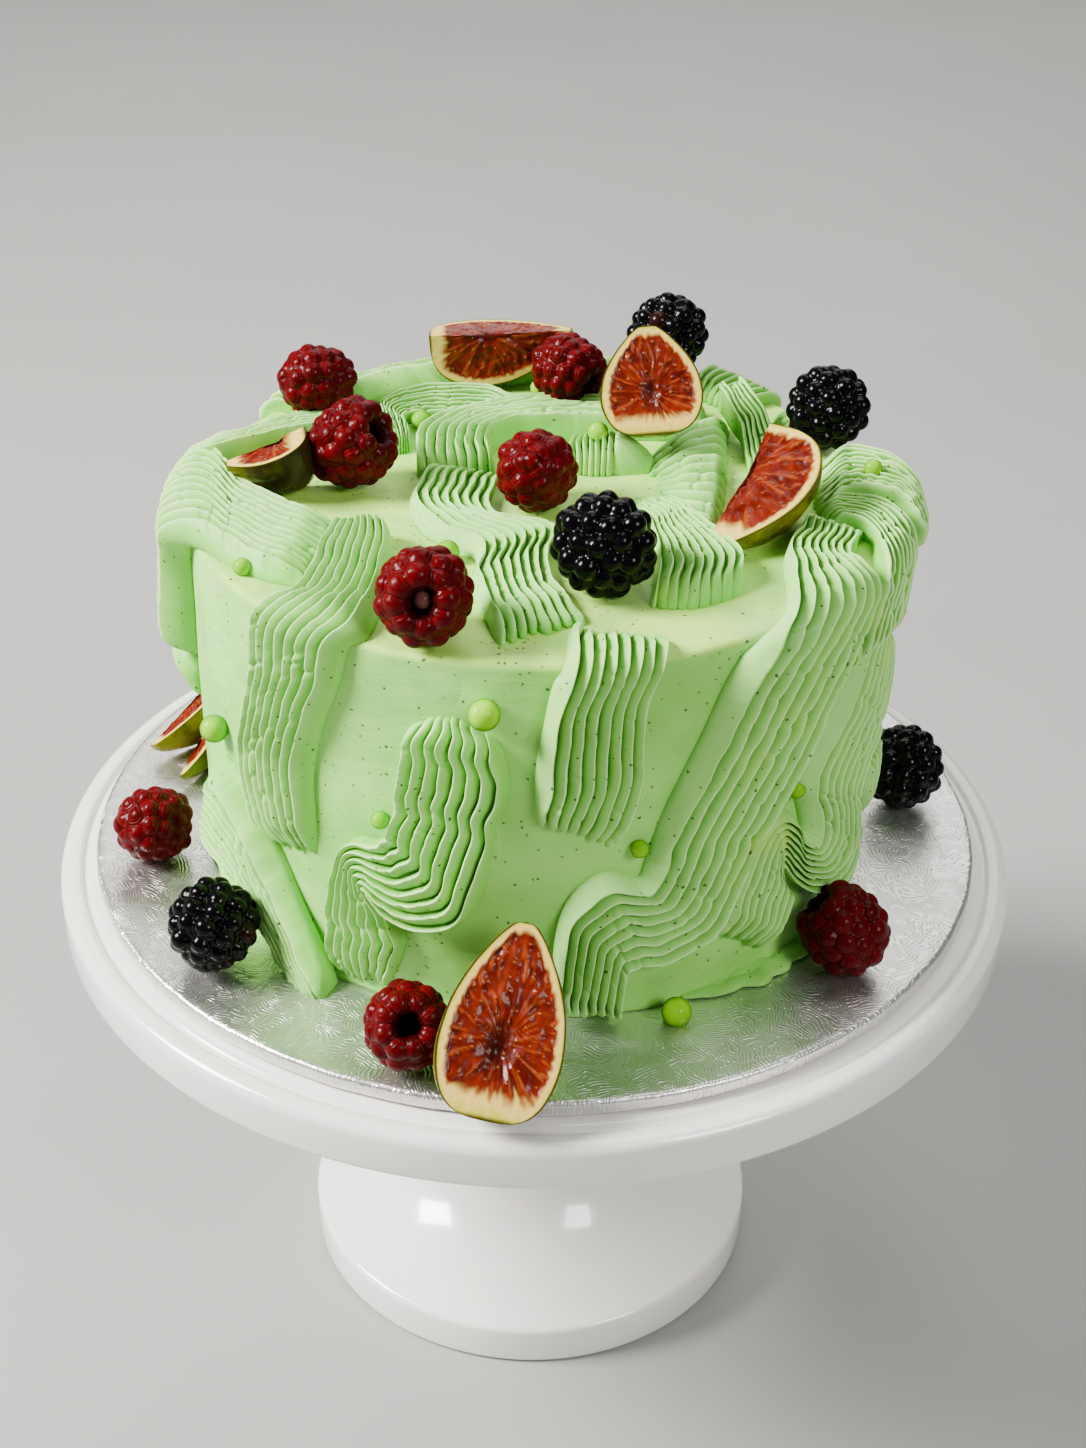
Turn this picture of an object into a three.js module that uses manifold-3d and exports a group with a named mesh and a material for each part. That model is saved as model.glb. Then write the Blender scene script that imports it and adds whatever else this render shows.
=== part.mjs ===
// Round layer cake in piped green icing, dressed with figs and berries, on its board and stand.
// Millimetres, +Z up, origin at the centre of the stand's foot. -Y is the front.
import * as THREE from 'three';
import { mergeVertices } from 'three/addons/utils/BufferGeometryUtils.js';
import Module from 'manifold-3d';

const wasm = await Module();
wasm.setup();

// Stand
const footRadius = 69.7;
const footLip = 14;
const footRecess = 2.5;
const plateRadius = 137.6;
const plateTop = 150;
const plateSkirt = 13.5;
const stemRadius = 21;

// Board
const gap = 0.3;
const clearance = 0.45;
const boardRadius = 127;
const boardThickness = 4.7;
const boardTop = plateTop + gap + boardThickness;

// Cake
const cakeRadius = 94;
const cakeTop = 258.4;
const cakeFillet = 3.5;
const cakeBottom = boardTop + gap;

// Piping: a flat toothed nozzle, laid over the cake
const teeth = 5;
const toothDepth = 2.1;
const smoothStrip = 0.24;
const layUp = 0.65;
const endShare = 0.72;
const middleLift = 4;
const undersideRise = 0.55;
const ringSpacing = 20;
const ringTurn = THREE.MathUtils.degToRad(27);
const samplesPerStation = 10;
const usualWidth = 20;
const usualThickness = 7;

// Fruit
const raspberryRadius = 12;
const brambleRadius = 13.2;
const berrySides = 12;
const figSides = 14;

// Sugar pearls, pressed a little into the icing under them
const pearlRadius = 2.3;
const bigPearlRadius = 3.9;
const pearlShows = 0.75;
const pearlSides = 7;
const pearlRings = 5;

// Icing smeared on the board at the front right
const smearFrom = -66;
const smearTo = -33;
const smearInner = 85;
const smearReach = 5.5;
const smearHeight = 2.2;

// Facets
const standSides = 36;
const boardSides = 44;
const cakeSides = 52;
const meshTolerance = 0.2;

const material = (color, roughness, metalness = 0) =>
  new THREE.MeshStandardMaterial({ color, roughness, metalness });

const icingMaterial = material(0xb9dba0, 0.5);
const raspberryMaterial = material(0x9c1220, 0.35);
const brambleMaterial = material(0x0d0a10, 0.25);
const figMaterial = material(0x9a4a2c, 0.45);

const cake = new THREE.Group();

// Solids and meshes

function toSolid(geometry) {
  geometry.deleteAttribute('normal');
  geometry.deleteAttribute('uv');
  const merged = mergeVertices(geometry, 1e-4);
  const vertProperties = new Float32Array(merged.attributes.position.array);
  const triVerts = new Uint32Array(merged.index.array);
  return new wasm.Manifold(new wasm.Mesh({ numProp: 3, vertProperties, triVerts }));
}

function largestPiece(solid) {
  const pieces = solid.decompose();
  return pieces.reduce((best, piece) => (piece.volume() > best.volume() ? piece : best));
}

function addNode(name, solid, nodeMaterial) {
  const mesh = solid.simplify(meshTolerance).getMesh();
  const geometry = new THREE.BufferGeometry();
  geometry.setAttribute('position', new THREE.BufferAttribute(new Float32Array(mesh.vertProperties), 3));
  geometry.setIndex(new THREE.BufferAttribute(new Uint32Array(mesh.triVerts), 1));
  geometry.computeVertexNormals();
  const node = new THREE.Mesh(geometry, nodeMaterial);
  node.name = name;
  cake.add(node);
}

const meets = (a, b) => {
  const p = a.boundingBox();
  const q = b.boundingBox();
  return [0, 1, 2].every((k) => p.min[k] < q.max[k] && q.min[k] < p.max[k]);
};

// A surface of revolution about +Z; the outline starts and ends on the axis.
function turned(outline, segments) {
  const points = outline.map(([radius, height]) => new THREE.Vector2(radius, height));
  const geometry = new THREE.LatheGeometry(points, segments);
  geometry.rotateX(Math.PI / 2);
  return toSolid(geometry);
}

// Points of a quarter circle between two angles in degrees
function arc(centreRadius, centreHeight, size, from, to, steps) {
  return Array.from({ length: steps + 1 }, (_, i) => {
    const angle = THREE.MathUtils.degToRad(from + ((to - from) * i) / steps);
    return [centreRadius + size * Math.cos(angle), centreHeight + size * Math.sin(angle)];
  });
}

// The icing lies on a sheet that covers the top, bends over the rim and runs down the wall.
// A place on the sheet is a flat vector whose length is the way from the centre of the top.

const rimStart = cakeRadius - cakeFillet;
const rimWay = ((cakeFillet + middleLift) * Math.PI) / 2;
const filletHeight = cakeTop - cakeFillet;

const top = (x, y) => new THREE.Vector2(x, y);

function side(degrees, height) {
  const middle = cakeFillet + middleLift;
  const way =
    height <= filletHeight
      ? rimStart + rimWay + filletHeight - height
      : rimStart + middle * Math.acos(Math.min(1, (height - filletHeight) / middle));
  const angle = THREE.MathUtils.degToRad(degrees);
  return new THREE.Vector2(way * Math.cos(angle), way * Math.sin(angle));
}

// The point that stands `lift` above the cake at a place on the sheet
function lifted(place, lift) {
  const way = place.length();
  const angle = Math.atan2(place.y, place.x);
  if (way <= rimStart) return new THREE.Vector3(place.x, place.y, cakeTop + lift);
  const bend = Math.min((way - rimStart) / (cakeFillet + middleLift), Math.PI / 2);
  const radius = rimStart + (cakeFillet + lift) * Math.sin(bend);
  const drop = Math.max(0, way - rimStart - rimWay);
  const height = filletHeight + (cakeFillet + lift) * Math.cos(bend) - drop;
  return new THREE.Vector3(radius * Math.cos(angle), radius * Math.sin(angle), height);
}

// Across the ribbon: base corners, a smooth strip, then a row of teeth.
// Each entry is [share of the width, share of the thickness, tooth depth below that].
function section() {
  const points = [[0.97, 0, 0], [0.5, 0, 0], [0.03, 0, 0], [0, 0.62, 0], [0.04, 0.95, 0]];
  points.push([smoothStrip * 0.75, 0.98, 0], [smoothStrip, 1, toothDepth]);
  const pitch = (1 - smoothStrip) / teeth;
  for (let i = 0; i < teeth; i += 1) {
    points.push([smoothStrip + pitch * (i + 0.55), 1, 0]);
    if (i < teeth - 1) points.push([smoothStrip + pitch * (i + 1), 1, toothDepth]);
  }
  points.push([1, 0.6, 0]);
  return points;
}

// Rings along the two rails, closer where the ribbon turns or crosses the rim.
// Each ring is its two places and how far the ribbon is lifted there.
function rings(stations) {
  const curve = (rail) =>
    new THREE.CatmullRomCurve3(
      stations.map((station) => new THREE.Vector3(station[rail].x, station[rail].y, station[2] ?? 0)),
      false,
      'centripetal',
    );
  const left = curve(0);
  const right = curve(1);
  const steps = (stations.length - 1) * samplesPerStation;
  const all = Array.from({ length: steps + 1 }, (_, i) => {
    const l = left.getPoint(i / steps);
    const r = right.getPoint(i / steps);
    return [new THREE.Vector2(l.x, l.y), new THREE.Vector2(r.x, r.y), Math.max(0, l.z)];
  });
  const gone = (a, b) => lifted(a, 0).distanceTo(lifted(b, 0));
  const across = (ring) => lifted(ring[1], 0).sub(lifted(ring[0], 0)).normalize();
  const up = (place) => lifted(place, 1).sub(lifted(place, 0));
  const chosen = [all[0]];
  for (let i = 1; i < all.length; i += 1) {
    const last = chosen[chosen.length - 1];
    const far = Math.max(gone(all[i][0], last[0]), gone(all[i][1], last[1]));
    const turn = across(all[i]).angleTo(across(last));
    const tilt = Math.max(up(all[i][0]).angleTo(up(last[0])), up(all[i][1]).angleTo(up(last[1])));
    if (i === all.length - 1 || far > ringSpacing || turn > ringTurn || tilt > ringTurn) chosen.push(all[i]);
  }
  return chosen;
}

// One piped ribbon. `grow` makes it that much bigger all round, to cut its neighbours clear.
function ribbonSolid({ stations, thick, mirror = false }, grow) {
  const shape = section();
  const chosen = rings(stations);
  const last = chosen.length - 1;
  const count = shape.length;
  const skewed = 2 * grow;
  const positions = [];
  chosen.forEach((ring, i) => {
    const end = i === 0 || i === last;
    const next = chosen[Math.min(i + 1, last)];
    const before = chosen[Math.max(i - 1, 0)];
    const across = ring[1].clone().sub(ring[0]);
    const width = lifted(ring[0], 0).distanceTo(lifted(ring[1], 0));
    shape.forEach(([share, height, groove]) => {
      const v = mirror ? 1 - share : share;
      const ahead = next[0].clone().lerp(next[1], v);
      const behind = before[0].clone().lerp(before[1], v);
      const place = ring[0].clone().lerp(ring[1], v).addScaledVector(across, (skewed * (2 * v - 1)) / width);
      const step = lifted(ahead, 0).distanceTo(lifted(behind, 0));
      if (end) place.addScaledVector(ahead.sub(behind), (i === 0 ? -skewed : skewed) / Math.max(step, 1));
      const full = thick * (end ? endShare : 1);
      const lift = height === 0 ? layUp - grow : full * height - (grow > 0 ? 0 : groove) + grow;
      const rise = ring[2] * (height === 0 ? undersideRise : 1);
      positions.push(...lifted(place, lift + rise).toArray());
    });
  });
  const firstAcross = chosen[0][1].clone().sub(chosen[0][0]);
  const firstAlong = chosen[1][0].clone().add(chosen[1][1]).sub(chosen[0][0]).sub(chosen[0][1]);
  const leftHanded = firstAcross.cross(firstAlong) > 0;
  const flip = mirror === leftHanded;
  const index = [];
  const face = (a, b, c) => index.push(...(flip ? [a, c, b] : [a, b, c]));
  for (let i = 0; i < last; i += 1) {
    for (let j = 0; j < count; j += 1) {
      const a = i * count + j;
      const b = i * count + ((j + 1) % count);
      face(a, b, b + count);
      face(a, b + count, a + count);
    }
  }
  const outline = shape.map(
    ([share, height, groove]) => new THREE.Vector2(share * usualWidth, height * usualThickness - groove),
  );
  THREE.ShapeUtils.triangulateShape(outline, []).forEach(([a, b, c]) => {
    face(a, b, c);
    face(last * count + a, last * count + c, last * count + b);
  });
  const geometry = new THREE.BufferGeometry();
  geometry.setAttribute('position', new THREE.Float32BufferAttribute(positions, 3));
  geometry.setIndex(index);
  return toSolid(geometry);
}

// Berries are turned shapes with a bumpy skin. `open` points out of the stalk end.
const raspberryOutline = [
  [0, 0], [0.52, 0.07], [0.84, 0.27], [1, 0.55], [0.97, 0.8], [0.72, 0.98],
];
const raspberryHollow = [[0.42, 0.96], [0.28, 0.62], [0, 0.56]];
const brambleOutline = [[0, 0], [0.55, 0.06], [0.86, 0.24], [1, 0.5], [0.92, 0.77], [0.6, 0.95]];
const brambleEnd = [[0, 1]];

// A berry that cuts its neighbours has no hollow.
function berry({ at, open, radius, length, skin, end }, grow) {
  const outline = [...skin, ...(grow > 0 ? brambleEnd : end)];
  const big = radius + grow;
  const long = length + 2 * grow;
  const points = outline.map(([r, h]) => new THREE.Vector2(r * big, (h - 0.5) * long));
  const geometry = new THREE.LatheGeometry(points, berrySides);
  const position = geometry.attributes.position;
  const rows = outline.length;
  for (let i = 0; i < position.count; i += 1) {
    const row = i % rows;
    const column = Math.floor(i / rows) % berrySides;
    const bump = (row + column) % 2 === 0 ? 1 : 0.93;
    position.setX(i, position.getX(i) * bump);
    position.setZ(i, position.getZ(i) * bump);
  }
  geometry.applyQuaternion(turnTo(new THREE.Vector3(0, 1, 0), open));
  geometry.translate(...at);
  return toSolid(geometry);
}

function turnTo(from, direction) {
  return new THREE.Quaternion().setFromUnitVectors(from, new THREE.Vector3(...direction).normalize());
}

// A fig is a teardrop, cut in half through its axis or again into a wedge.
const figOutline = [
  [0, 0], [0.5, 0.02], [0.84, 0.12], [1, 0.33], [0.93, 0.55], [0.68, 0.76], [0.4, 0.91], [0.2, 0.985], [0, 1],
];

function fig({ stalk, eye, face, second, radius, depth = 0 }, grow) {
  const from = new THREE.Vector3(...eye);
  const axis = new THREE.Vector3(...stalk).sub(from);
  const length = axis.length();
  axis.normalize();
  const out = new THREE.Vector3(...face);
  out.addScaledVector(axis, -out.dot(axis)).normalize();
  const long = length + 2 * grow;
  const points = figOutline.map(([r, h]) => new THREE.Vector2(r * (radius + grow), h * long - grow));
  const geometry = new THREE.LatheGeometry(points, figSides);
  geometry.applyQuaternion(turnTo(new THREE.Vector3(0, 1, 0), axis.toArray()));
  geometry.translate(from.x, from.y, from.z);
  geometry.translate(out.x * -depth, out.y * -depth, out.z * -depth);
  let solid = toSolid(geometry);
  const middle = from.clone().addScaledVector(axis, length / 2);
  const faces = [out];
  if (second) {
    const other = new THREE.Vector3().crossVectors(axis, out).normalize();
    if (other.dot(new THREE.Vector3(...second)) < 0) other.negate();
    faces.push(other);
  }
  faces.forEach((normal) => {
    const size = 3 * length;
    const box = new THREE.BoxGeometry(size, size, size);
    box.applyQuaternion(turnTo(new THREE.Vector3(0, 0, 1), normal.toArray()));
    const centre = middle.clone().addScaledVector(normal, size / 2 + grow);
    box.translate(centre.x, centre.y, centre.z);
    solid = solid.subtract(toSolid(box));
  });
  return solid;
}

const pearl = (centre, radius) => {
  const geometry = new THREE.SphereGeometry(radius, pearlSides, pearlRings);
  geometry.translate(...centre);
  return toSolid(geometry);
};

const onTop = (x, y, radius) => [x, y, cakeTop + radius * pearlShows];

function onWall(degrees, height, radius) {
  const angle = THREE.MathUtils.degToRad(degrees);
  const out = cakeRadius + radius * pearlShows;
  return [out * Math.cos(angle), out * Math.sin(angle), height];
}

// The two rails of each ribbon, as places picked by eye along its edges.
// Ribbons come first where they lie over another.
const ribbons = [
  {
    name: 'ribbon_left_front_drop', thick: 7, mirror: true,
    stations: [
      [top(-51, -26), top(-40, -26)], [top(-54, -40), top(-36, -43)],
      [top(-56, -53), top(-38, -58)], [top(-59, -66), top(-39, -71)],
      [side(-133, 261), side(-116, 262)], [side(-134, 256), side(-118, 259)],
      [side(-137, 234), side(-121, 245)], [side(-139, 217), side(-124, 229)],
      [side(-139, 202), side(-125, 216)], [side(-132, 190), side(-124, 195)],
    ],
  },
  {
    name: 'ribbon_left_over_rim', thick: 9.5, mirror: true,
    stations: [
      [top(-52, -24), top(-58, -54)], [top(-64, -22), top(-67, -51)],
      [top(-77, -16), top(-78, -40)], [top(-87, 3), side(-163, 262)],
      [side(177, 250), side(-167, 250)], [side(176, 217), side(-168, 217)],
    ],
  },
  {
    name: 'ribbon_left_back_drop', thick: 8,
    stations: [
      [top(-53, 47), top(-53, 33)], [top(-67, 45), top(-65, 26)],
      [top(-77, 35), top(-75, 20)], [side(163, 262), side(175, 262)],
      [side(161, 252), side(176, 254)], [side(157, 234), side(174, 236)],
      [side(160, 220), side(178, 224)], [side(172, 208), side(-169, 213)],
      [side(176, 202), side(-169, 203)],
    ],
  },
  {
    name: 'ribbon_front_drop', thick: 7,
    stations: [
      [top(12, -76), side(-73, 261)], [side(-86, 261), side(-73, 258)],
      [side(-89, 252), side(-74, 250)], [side(-90, 240), side(-76, 240)],
      [side(-90, 230), side(-76, 226)], [side(-89, 213), side(-80, 208)],
    ],
  },
  {
    name: 'ribbon_front_hook', thick: 7, mirror: true,
    stations: [
      [side(-107, 244), side(-97, 241)], [side(-109, 229), side(-94, 233)],
      [side(-110, 217), side(-96, 218)], [side(-110, 206), side(-97, 201)],
      [side(-111, 204), side(-102, 186)], [side(-113, 206), side(-109, 184)],
      [side(-116, 202), side(-112, 186)], [side(-120, 186), side(-110, 182)],
      [side(-123, 168), side(-109, 172)], [side(-121, 158), side(-112, 162)],
    ],
  },
  {
    name: 'ribbon_left_tail', thick: 7, mirror: true,
    stations: [
      [side(-158, 172), side(-157, 198)], [side(-153, 172), side(-141, 206)],
      [side(-147, 173), side(-134, 199)], [side(-140, 172), side(-128, 188)],
      [side(-132, 165), side(-124, 173)], [side(-127, 158), side(-122, 162)],
    ],
  },
  {
    name: 'ribbon_swirl', thick: 6,
    stations: [
      [top(-26, 11), top(-10, 8)], [top(-32, 0), top(-14, -5)],
      [top(-33, -11), top(-12, -17)], [top(-23, -32), top(-5, -19)],
      [top(-16, -39), top(4, -26)], [top(-16, -59), top(2, -45)],
      [top(-5, -84), top(13, -71)],
    ],
  },
  {
    name: 'ribbon_small_left', thick: 7,
    stations: [
      [top(-42, 22), top(-36, 24)], [top(-44, 33), top(-37, 33)],
      [top(-47, 47), top(-39, 44)], [top(-39, 59), top(-30, 46)],
      [top(-24, 63), top(-19, 46)], [top(-5, 59), top(-6, 46)],
    ],
  },
  {
    name: 'ribbon_folded_end', thick: 9.5,
    stations: [
      [top(13, 27), top(30, 25)], [top(8, 18), top(31, 18)],
      [top(8, 10), top(29, 11)],
    ],
  },
  {
    name: 'ribbon_across_back', thick: 9,
    stations: [
      [top(-33, 9), top(-13, 13)], [top(-31, 32), top(-12, 24)],
      [top(-12, 42), top(-1, 29)], [top(17, 50), top(19, 34)],
      [top(48, 53), top(48, 34)],
    ],
  },
  {
    name: 'ribbon_spike', thick: 9,
    stations: [
      [top(66, 14), top(57, 13)], [top(66, 22), top(55, 20)],
      [top(65, 32), top(54, 29), 4], [top(61, 42), top(50, 38), 10],
      [top(57, 49), top(47, 45), 14],
    ],
  },
  {
    name: 'ribbon_behind_spike', thick: 8,
    stations: [
      [top(66, 50), top(65, 32)], [top(77, 49), top(76, 33)],
    ],
  },
  {
    name: 'ribbon_middle_fan', thick: 6,
    stations: [
      [top(27, 13), top(45, 29)], [top(31, 1), top(52, 20)],
      [top(44, -4), top(57, 8)],
    ],
  },
  {
    name: 'ribbon_right_front_top', thick: 7,
    stations: [
      [top(23, -10), top(35, -9)], [top(28, -31), top(42, -28)],
      [top(29, -51), top(49, -51)], [top(25, -69), top(49, -61)],
    ],
  },
  {
    name: 'ribbon_right_over_rim', thick: 9,
    stations: [
      [top(72, -13), top(74, -23)], [top(81, -13), top(80, -24)],
      [top(88, -14), top(84, -27)], [side(-12, 261), side(-25, 261)],
      [side(-14, 254), side(-31, 254)], [side(-17, 242), side(-33, 247)],
      [side(-17, 230), side(-34, 233)],
    ],
  },
  {
    name: 'ribbon_right_back_rim', thick: 11,
    stations: [
      [top(75, 7), top(72, -14)], [top(84, 9), top(83, -11)],
      [side(2, 262), side(-9, 262)], [side(-4, 257), side(-11, 259)],
      [side(-6, 246), side(-11, 248)],
    ],
  },
  {
    name: 'ribbon_right_long', thick: 7,
    stations: [
      [top(72, -16), top(84, -25)], [top(62, -38), top(77, -44)],
      [top(61, -58), side(-34, 260)], [side(-51, 262), side(-36, 256)],
      [side(-56, 259), side(-38, 250)], [side(-61, 250), side(-42, 244)],
      [side(-66, 233), side(-49, 227)], [side(-71, 216), side(-56, 210)],
      [side(-74, 202), side(-61, 193)], [side(-75, 198), side(-64, 178)],
      [side(-77, 199), side(-71, 172)], [side(-81, 201), side(-75, 173)],
      [side(-86, 192), side(-76, 171)], [side(-87, 176), side(-77, 166)],
      [side(-86, 157), side(-77, 157)],
    ],
  },
  {
    name: 'ribbon_right_wall_hook', thick: 7,
    stations: [
      [side(-35, 246), side(-22, 236)], [side(-39, 234), side(-23, 220)],
      [side(-44, 224), side(-29, 211)], [side(-48, 212), side(-35, 200)],
      [side(-46, 203), side(-32, 186)], [side(-44, 197), side(-31, 176)],
      [side(-44, 194), side(-36, 171)], [side(-46, 196), side(-43, 177)],
      [side(-47, 203), side(-48, 186)], [side(-51, 208), side(-50, 193)],
      [side(-56, 204), side(-50, 189)], [side(-60, 192), side(-47, 178)],
      [side(-62, 175), side(-53, 165)],
    ],
  },
  {
    name: 'ribbon_right_wall_scallop', thick: 7,
    stations: [
      [side(-28, 204), side(-14, 200)], [side(-27, 193), side(-13, 190)],
      [side(-25, 180), side(-14, 180)],
    ],
  },
  {
    name: 'ribbon_back_rim', thick: 9,
    stations: [
      [top(-62, 62), top(-54, 55)], [top(-44, 78), top(-36, 66)],
      [top(-24, 86), top(-19, 72)], [top(4, 88), top(3, 76)],
      [top(30, 83), top(26, 71)],
    ],
  },
  {
    name: 'ribbon_back_left_drop', thick: 8,
    stations: [
      [top(-60, 64), top(-68, 48)], [side(131, 262), side(146, 262)],
      [side(130, 252), side(146, 252)], [side(127, 232), side(142, 228)],
      [side(129, 212), side(142, 207)],
    ],
  },
  {
    name: 'ribbon_back_hook', thick: 7,
    stations: [
      [side(112, 250), side(97, 249)], [side(113, 228), side(97, 226)],
      [side(113, 204), side(99, 198)], [side(116, 194), side(107, 179)],
      [side(122, 192), side(121, 174)], [side(127, 186), side(131, 168)],
    ],
  },
  {
    name: 'ribbon_back_long', thick: 7,
    stations: [
      [top(43, 68), top(56, 55)], [side(59, 262), side(43, 262)],
      [side(60, 250), side(44, 250)], [side(66, 226), side(51, 221)],
      [side(74, 204), side(59, 195)], [side(80, 190), side(68, 176)],
    ],
  },
  {
    name: 'ribbon_back_right_drop', thick: 7,
    stations: [
      [side(33, 245), side(18, 245)], [side(32, 222), side(17, 220)],
      [side(36, 200), side(22, 193)], [side(43, 182), side(31, 172)],
    ],
  },
];

const raspberry = { radius: raspberryRadius, length: 23.5, skin: raspberryOutline, end: raspberryHollow };
const bramble = { radius: brambleRadius, length: 28, skin: brambleOutline, end: brambleEnd };

const berries = [
  { name: 'raspberry_top_left', at: [-64.6, 49, 270], open: [0.9, 0.3, -0.25], ...raspberry },
  { name: 'raspberry_top_left_open', at: [-50.9, 1.8, 271], open: [0.8, -0.27, 0.52], ...raspberry },
  { name: 'raspberry_top_middle', at: [-1.1, -10.2, 270.5], open: [0.1, 0.75, -0.6], ...raspberry },
  { name: 'raspberry_top_back', at: [7.3, 57, 271], open: [0.65, -0.6, -0.25], ...raspberry },
  { name: 'raspberry_top_front_open', at: [-26.6, -80.9, 270.5], open: [0, -0.95, 0.28], ...raspberry },
  { name: 'raspberry_board_left', at: [-107.6, -25, 167], open: [0.8, 0.4, -0.2], ...raspberry },
  { name: 'raspberry_board_front_open', at: [-30.7, -111.5, 167], open: [0.05, -0.78, 0.62], ...raspberry },
  { name: 'raspberry_board_right', at: [82, -71, 167], open: [-0.6, 0.2, 0.55], ...raspberry },
  { name: 'raspberry_board_back', at: [58, 93, 167], open: [-0.3, 0.5, 0.6], ...raspberry },
  { name: 'bramble_top_front', at: [15.7, -56, 271.5], open: [-0.75, 0.3, 0.35], ...bramble },
  { name: 'bramble_top_right', at: [79.6, 29, 272], open: [0.3, 0.2, 0.9], ...bramble },
  { name: 'bramble_top_back', at: [37, 72, 276], open: [0.4, 0.5, 0.7], ...bramble },
  { name: 'bramble_board_left', at: [-83.8, -73.2, 168.6], open: [0.3, 0.75, 0.5], ...bramble },
  { name: 'bramble_board_right', at: [108, 8.2, 168.6], open: [0.1, 0.6, 0.75], ...bramble },
  { name: 'bramble_board_back', at: [-36, 105, 168.6], open: [0.6, -0.2, 0.7], ...bramble },
];

const figs = [
  {
    name: 'fig_top_back', stalk: [9, 71, 277], eye: [-33, 68.5, 275.5], face: [0, -1, 0.1], second: [0, 0, 1],
    radius: 16,
  },
  {
    name: 'fig_top_half', stalk: [28.5, 32, 293.5], eye: [31, 15, 268.8], face: [-0.05, -0.83, 0.55],
    radius: 14,
  },
  {
    name: 'fig_top_right', stalk: [42, -38, 262.5], eye: [60, -5, 281.5], face: [-0.14, -0.46, 0.88],
    second: [-0.9, 0.44, 0.08], radius: 19,
  },
  {
    name: 'fig_top_left', stalk: [-84, -0.5, 266], eye: [-62.5, 3.5, 275], face: [-0.35, 0, 0.93],
    second: [-0.1, 1, 0], radius: 15,
  },
  {
    name: 'fig_board_front', stalk: [-1.7, -104.5, 193], eye: [-11, -137.3, 158.5], face: [0.05, -0.69, 0.72],
    radius: 15.4, depth: 1.5,
  },
  {
    name: 'fig_board_left', stalk: [-117, 26, 159.5], eye: [-98.5, 52, 173], face: [-0.6, 0, 0.8],
    second: [-0.6, 0.8, 0], radius: 13.5,
  },
  {
    name: 'fig_board_left_small', stalk: [-106, 11, 158.5], eye: [-101, 33, 164.5], face: [-0.5, 0.2, 0.84],
    second: [-0.9, 0.2, 0], radius: 8.5,
  },
  {
    name: 'fig_board_back', stalk: [22, 122, 162], eye: [-8, 107, 172], face: [0.1, 0.35, 0.93],
    second: [0.4, 0.9, 0], radius: 15,
  },
];

// Build

const footOutline = [
  [0, footRecess], [footRadius - 9, footRecess], [footRadius - 7, 0], [footRadius - 1.5, 0],
  [footRadius, 1.8], [footRadius, footLip - 3], [footRadius - 2, footLip],
];
const stemOutline = [
  [48, 22], [34, 36], [25, 56], [stemRadius, 84], [stemRadius + 2, 106], [32, 121], [50, 130],
];
const plateOutline = [
  [96, plateTop - plateSkirt + 1.5], [plateRadius - 5, plateTop - plateSkirt + 1.5],
  [plateRadius - 4, plateTop - plateSkirt], [plateRadius - 1, plateTop - plateSkirt],
  [plateRadius, plateTop - plateSkirt + 1.2], ...arc(plateRadius - 4, plateTop - 4, 4, 0, 90, 2),
  [0, plateTop],
];
const standSolid = turned([...footOutline, ...stemOutline, ...plateOutline], standSides);

const boardOutline = [
  [0, plateTop + gap], [boardRadius - 1, plateTop + gap], [boardRadius, plateTop + gap + 1],
  [boardRadius, boardTop - 1], [boardRadius - 1, boardTop], [0, boardTop],
];
const cakeOutline = [
  [0, cakeBottom], [cakeRadius, cakeBottom], ...arc(rimStart, filletHeight, cakeFillet, 0, 90, 2),
  [0, cakeTop],
];

function smear() {
  const from = THREE.MathUtils.degToRad(smearFrom);
  const to = THREE.MathUtils.degToRad(smearTo);
  const steps = 9;
  const outline = new THREE.Shape();
  for (let i = 0; i <= steps; i += 1) {
    const angle = from + ((to - from) * i) / steps;
    const reach = cakeRadius + smearReach * Math.sin((Math.PI * i) / steps) + (i % 2);
    outline[i === 0 ? 'moveTo' : 'lineTo'](reach * Math.cos(angle), reach * Math.sin(angle));
  }
  outline.lineTo(smearInner * Math.cos(to), smearInner * Math.sin(to));
  outline.lineTo(smearInner * Math.cos(from), smearInner * Math.sin(from));
  const geometry = new THREE.ExtrudeGeometry(outline, { depth: smearHeight, bevelEnabled: false });
  geometry.translate(0, 0, cakeBottom);
  return toSolid(geometry);
}

const cakePearls = [
  [onTop(-73.5, -49.5, pearlRadius), pearlRadius],
  [onTop(-34, 42, 2.9), 2.9],
  [onTop(-23, -41, 3.1), 3.1],
  [onTop(-1, 68, pearlRadius), pearlRadius],
  [onWall(-97.3, 246.5, bigPearlRadius), bigPearlRadius],
  [onWall(-150.2, 212, 3.7), 3.7],
  [onWall(-113.4, 211, pearlRadius), pearlRadius],
  [onWall(-74.5, 206.5, pearlRadius), pearlRadius],
  [onWall(-46.5, 209.5, pearlRadius), pearlRadius],
  [onWall(-35.5, 240, pearlRadius), pearlRadius],
];
const boardPearl = [[36.6, -95, boardTop + 3], bigPearlRadius];
const ribbonPearls = {
  ribbon_folded_end: [[15.7, 20.5, cakeTop + 8.6], 2.9],
  ribbon_right_back_rim: [[88, -4, cakeTop + 10], 2.5],
};

const grown = (height) => [
  [0, cakeBottom - gap], [cakeRadius + gap, cakeBottom - gap],
  ...arc(rimStart, filletHeight, cakeFillet + gap, 0, 90, 3), [0, height],
];

const boardSolid = turned(boardOutline, boardSides).add(pearl(...boardPearl));
const plainCake = turned(cakeOutline, cakeSides).add(smear());
const cakeSolid = cakePearls.reduce((solid, one) => solid.add(pearl(...one)), plainCake);

addNode('stand', standSolid, material(0xf1efec, 0.18));
addNode('board', boardSolid, material(0xc9c9c6, 0.28, 0.9));
addNode('cake', cakeSolid, icingMaterial);

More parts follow.
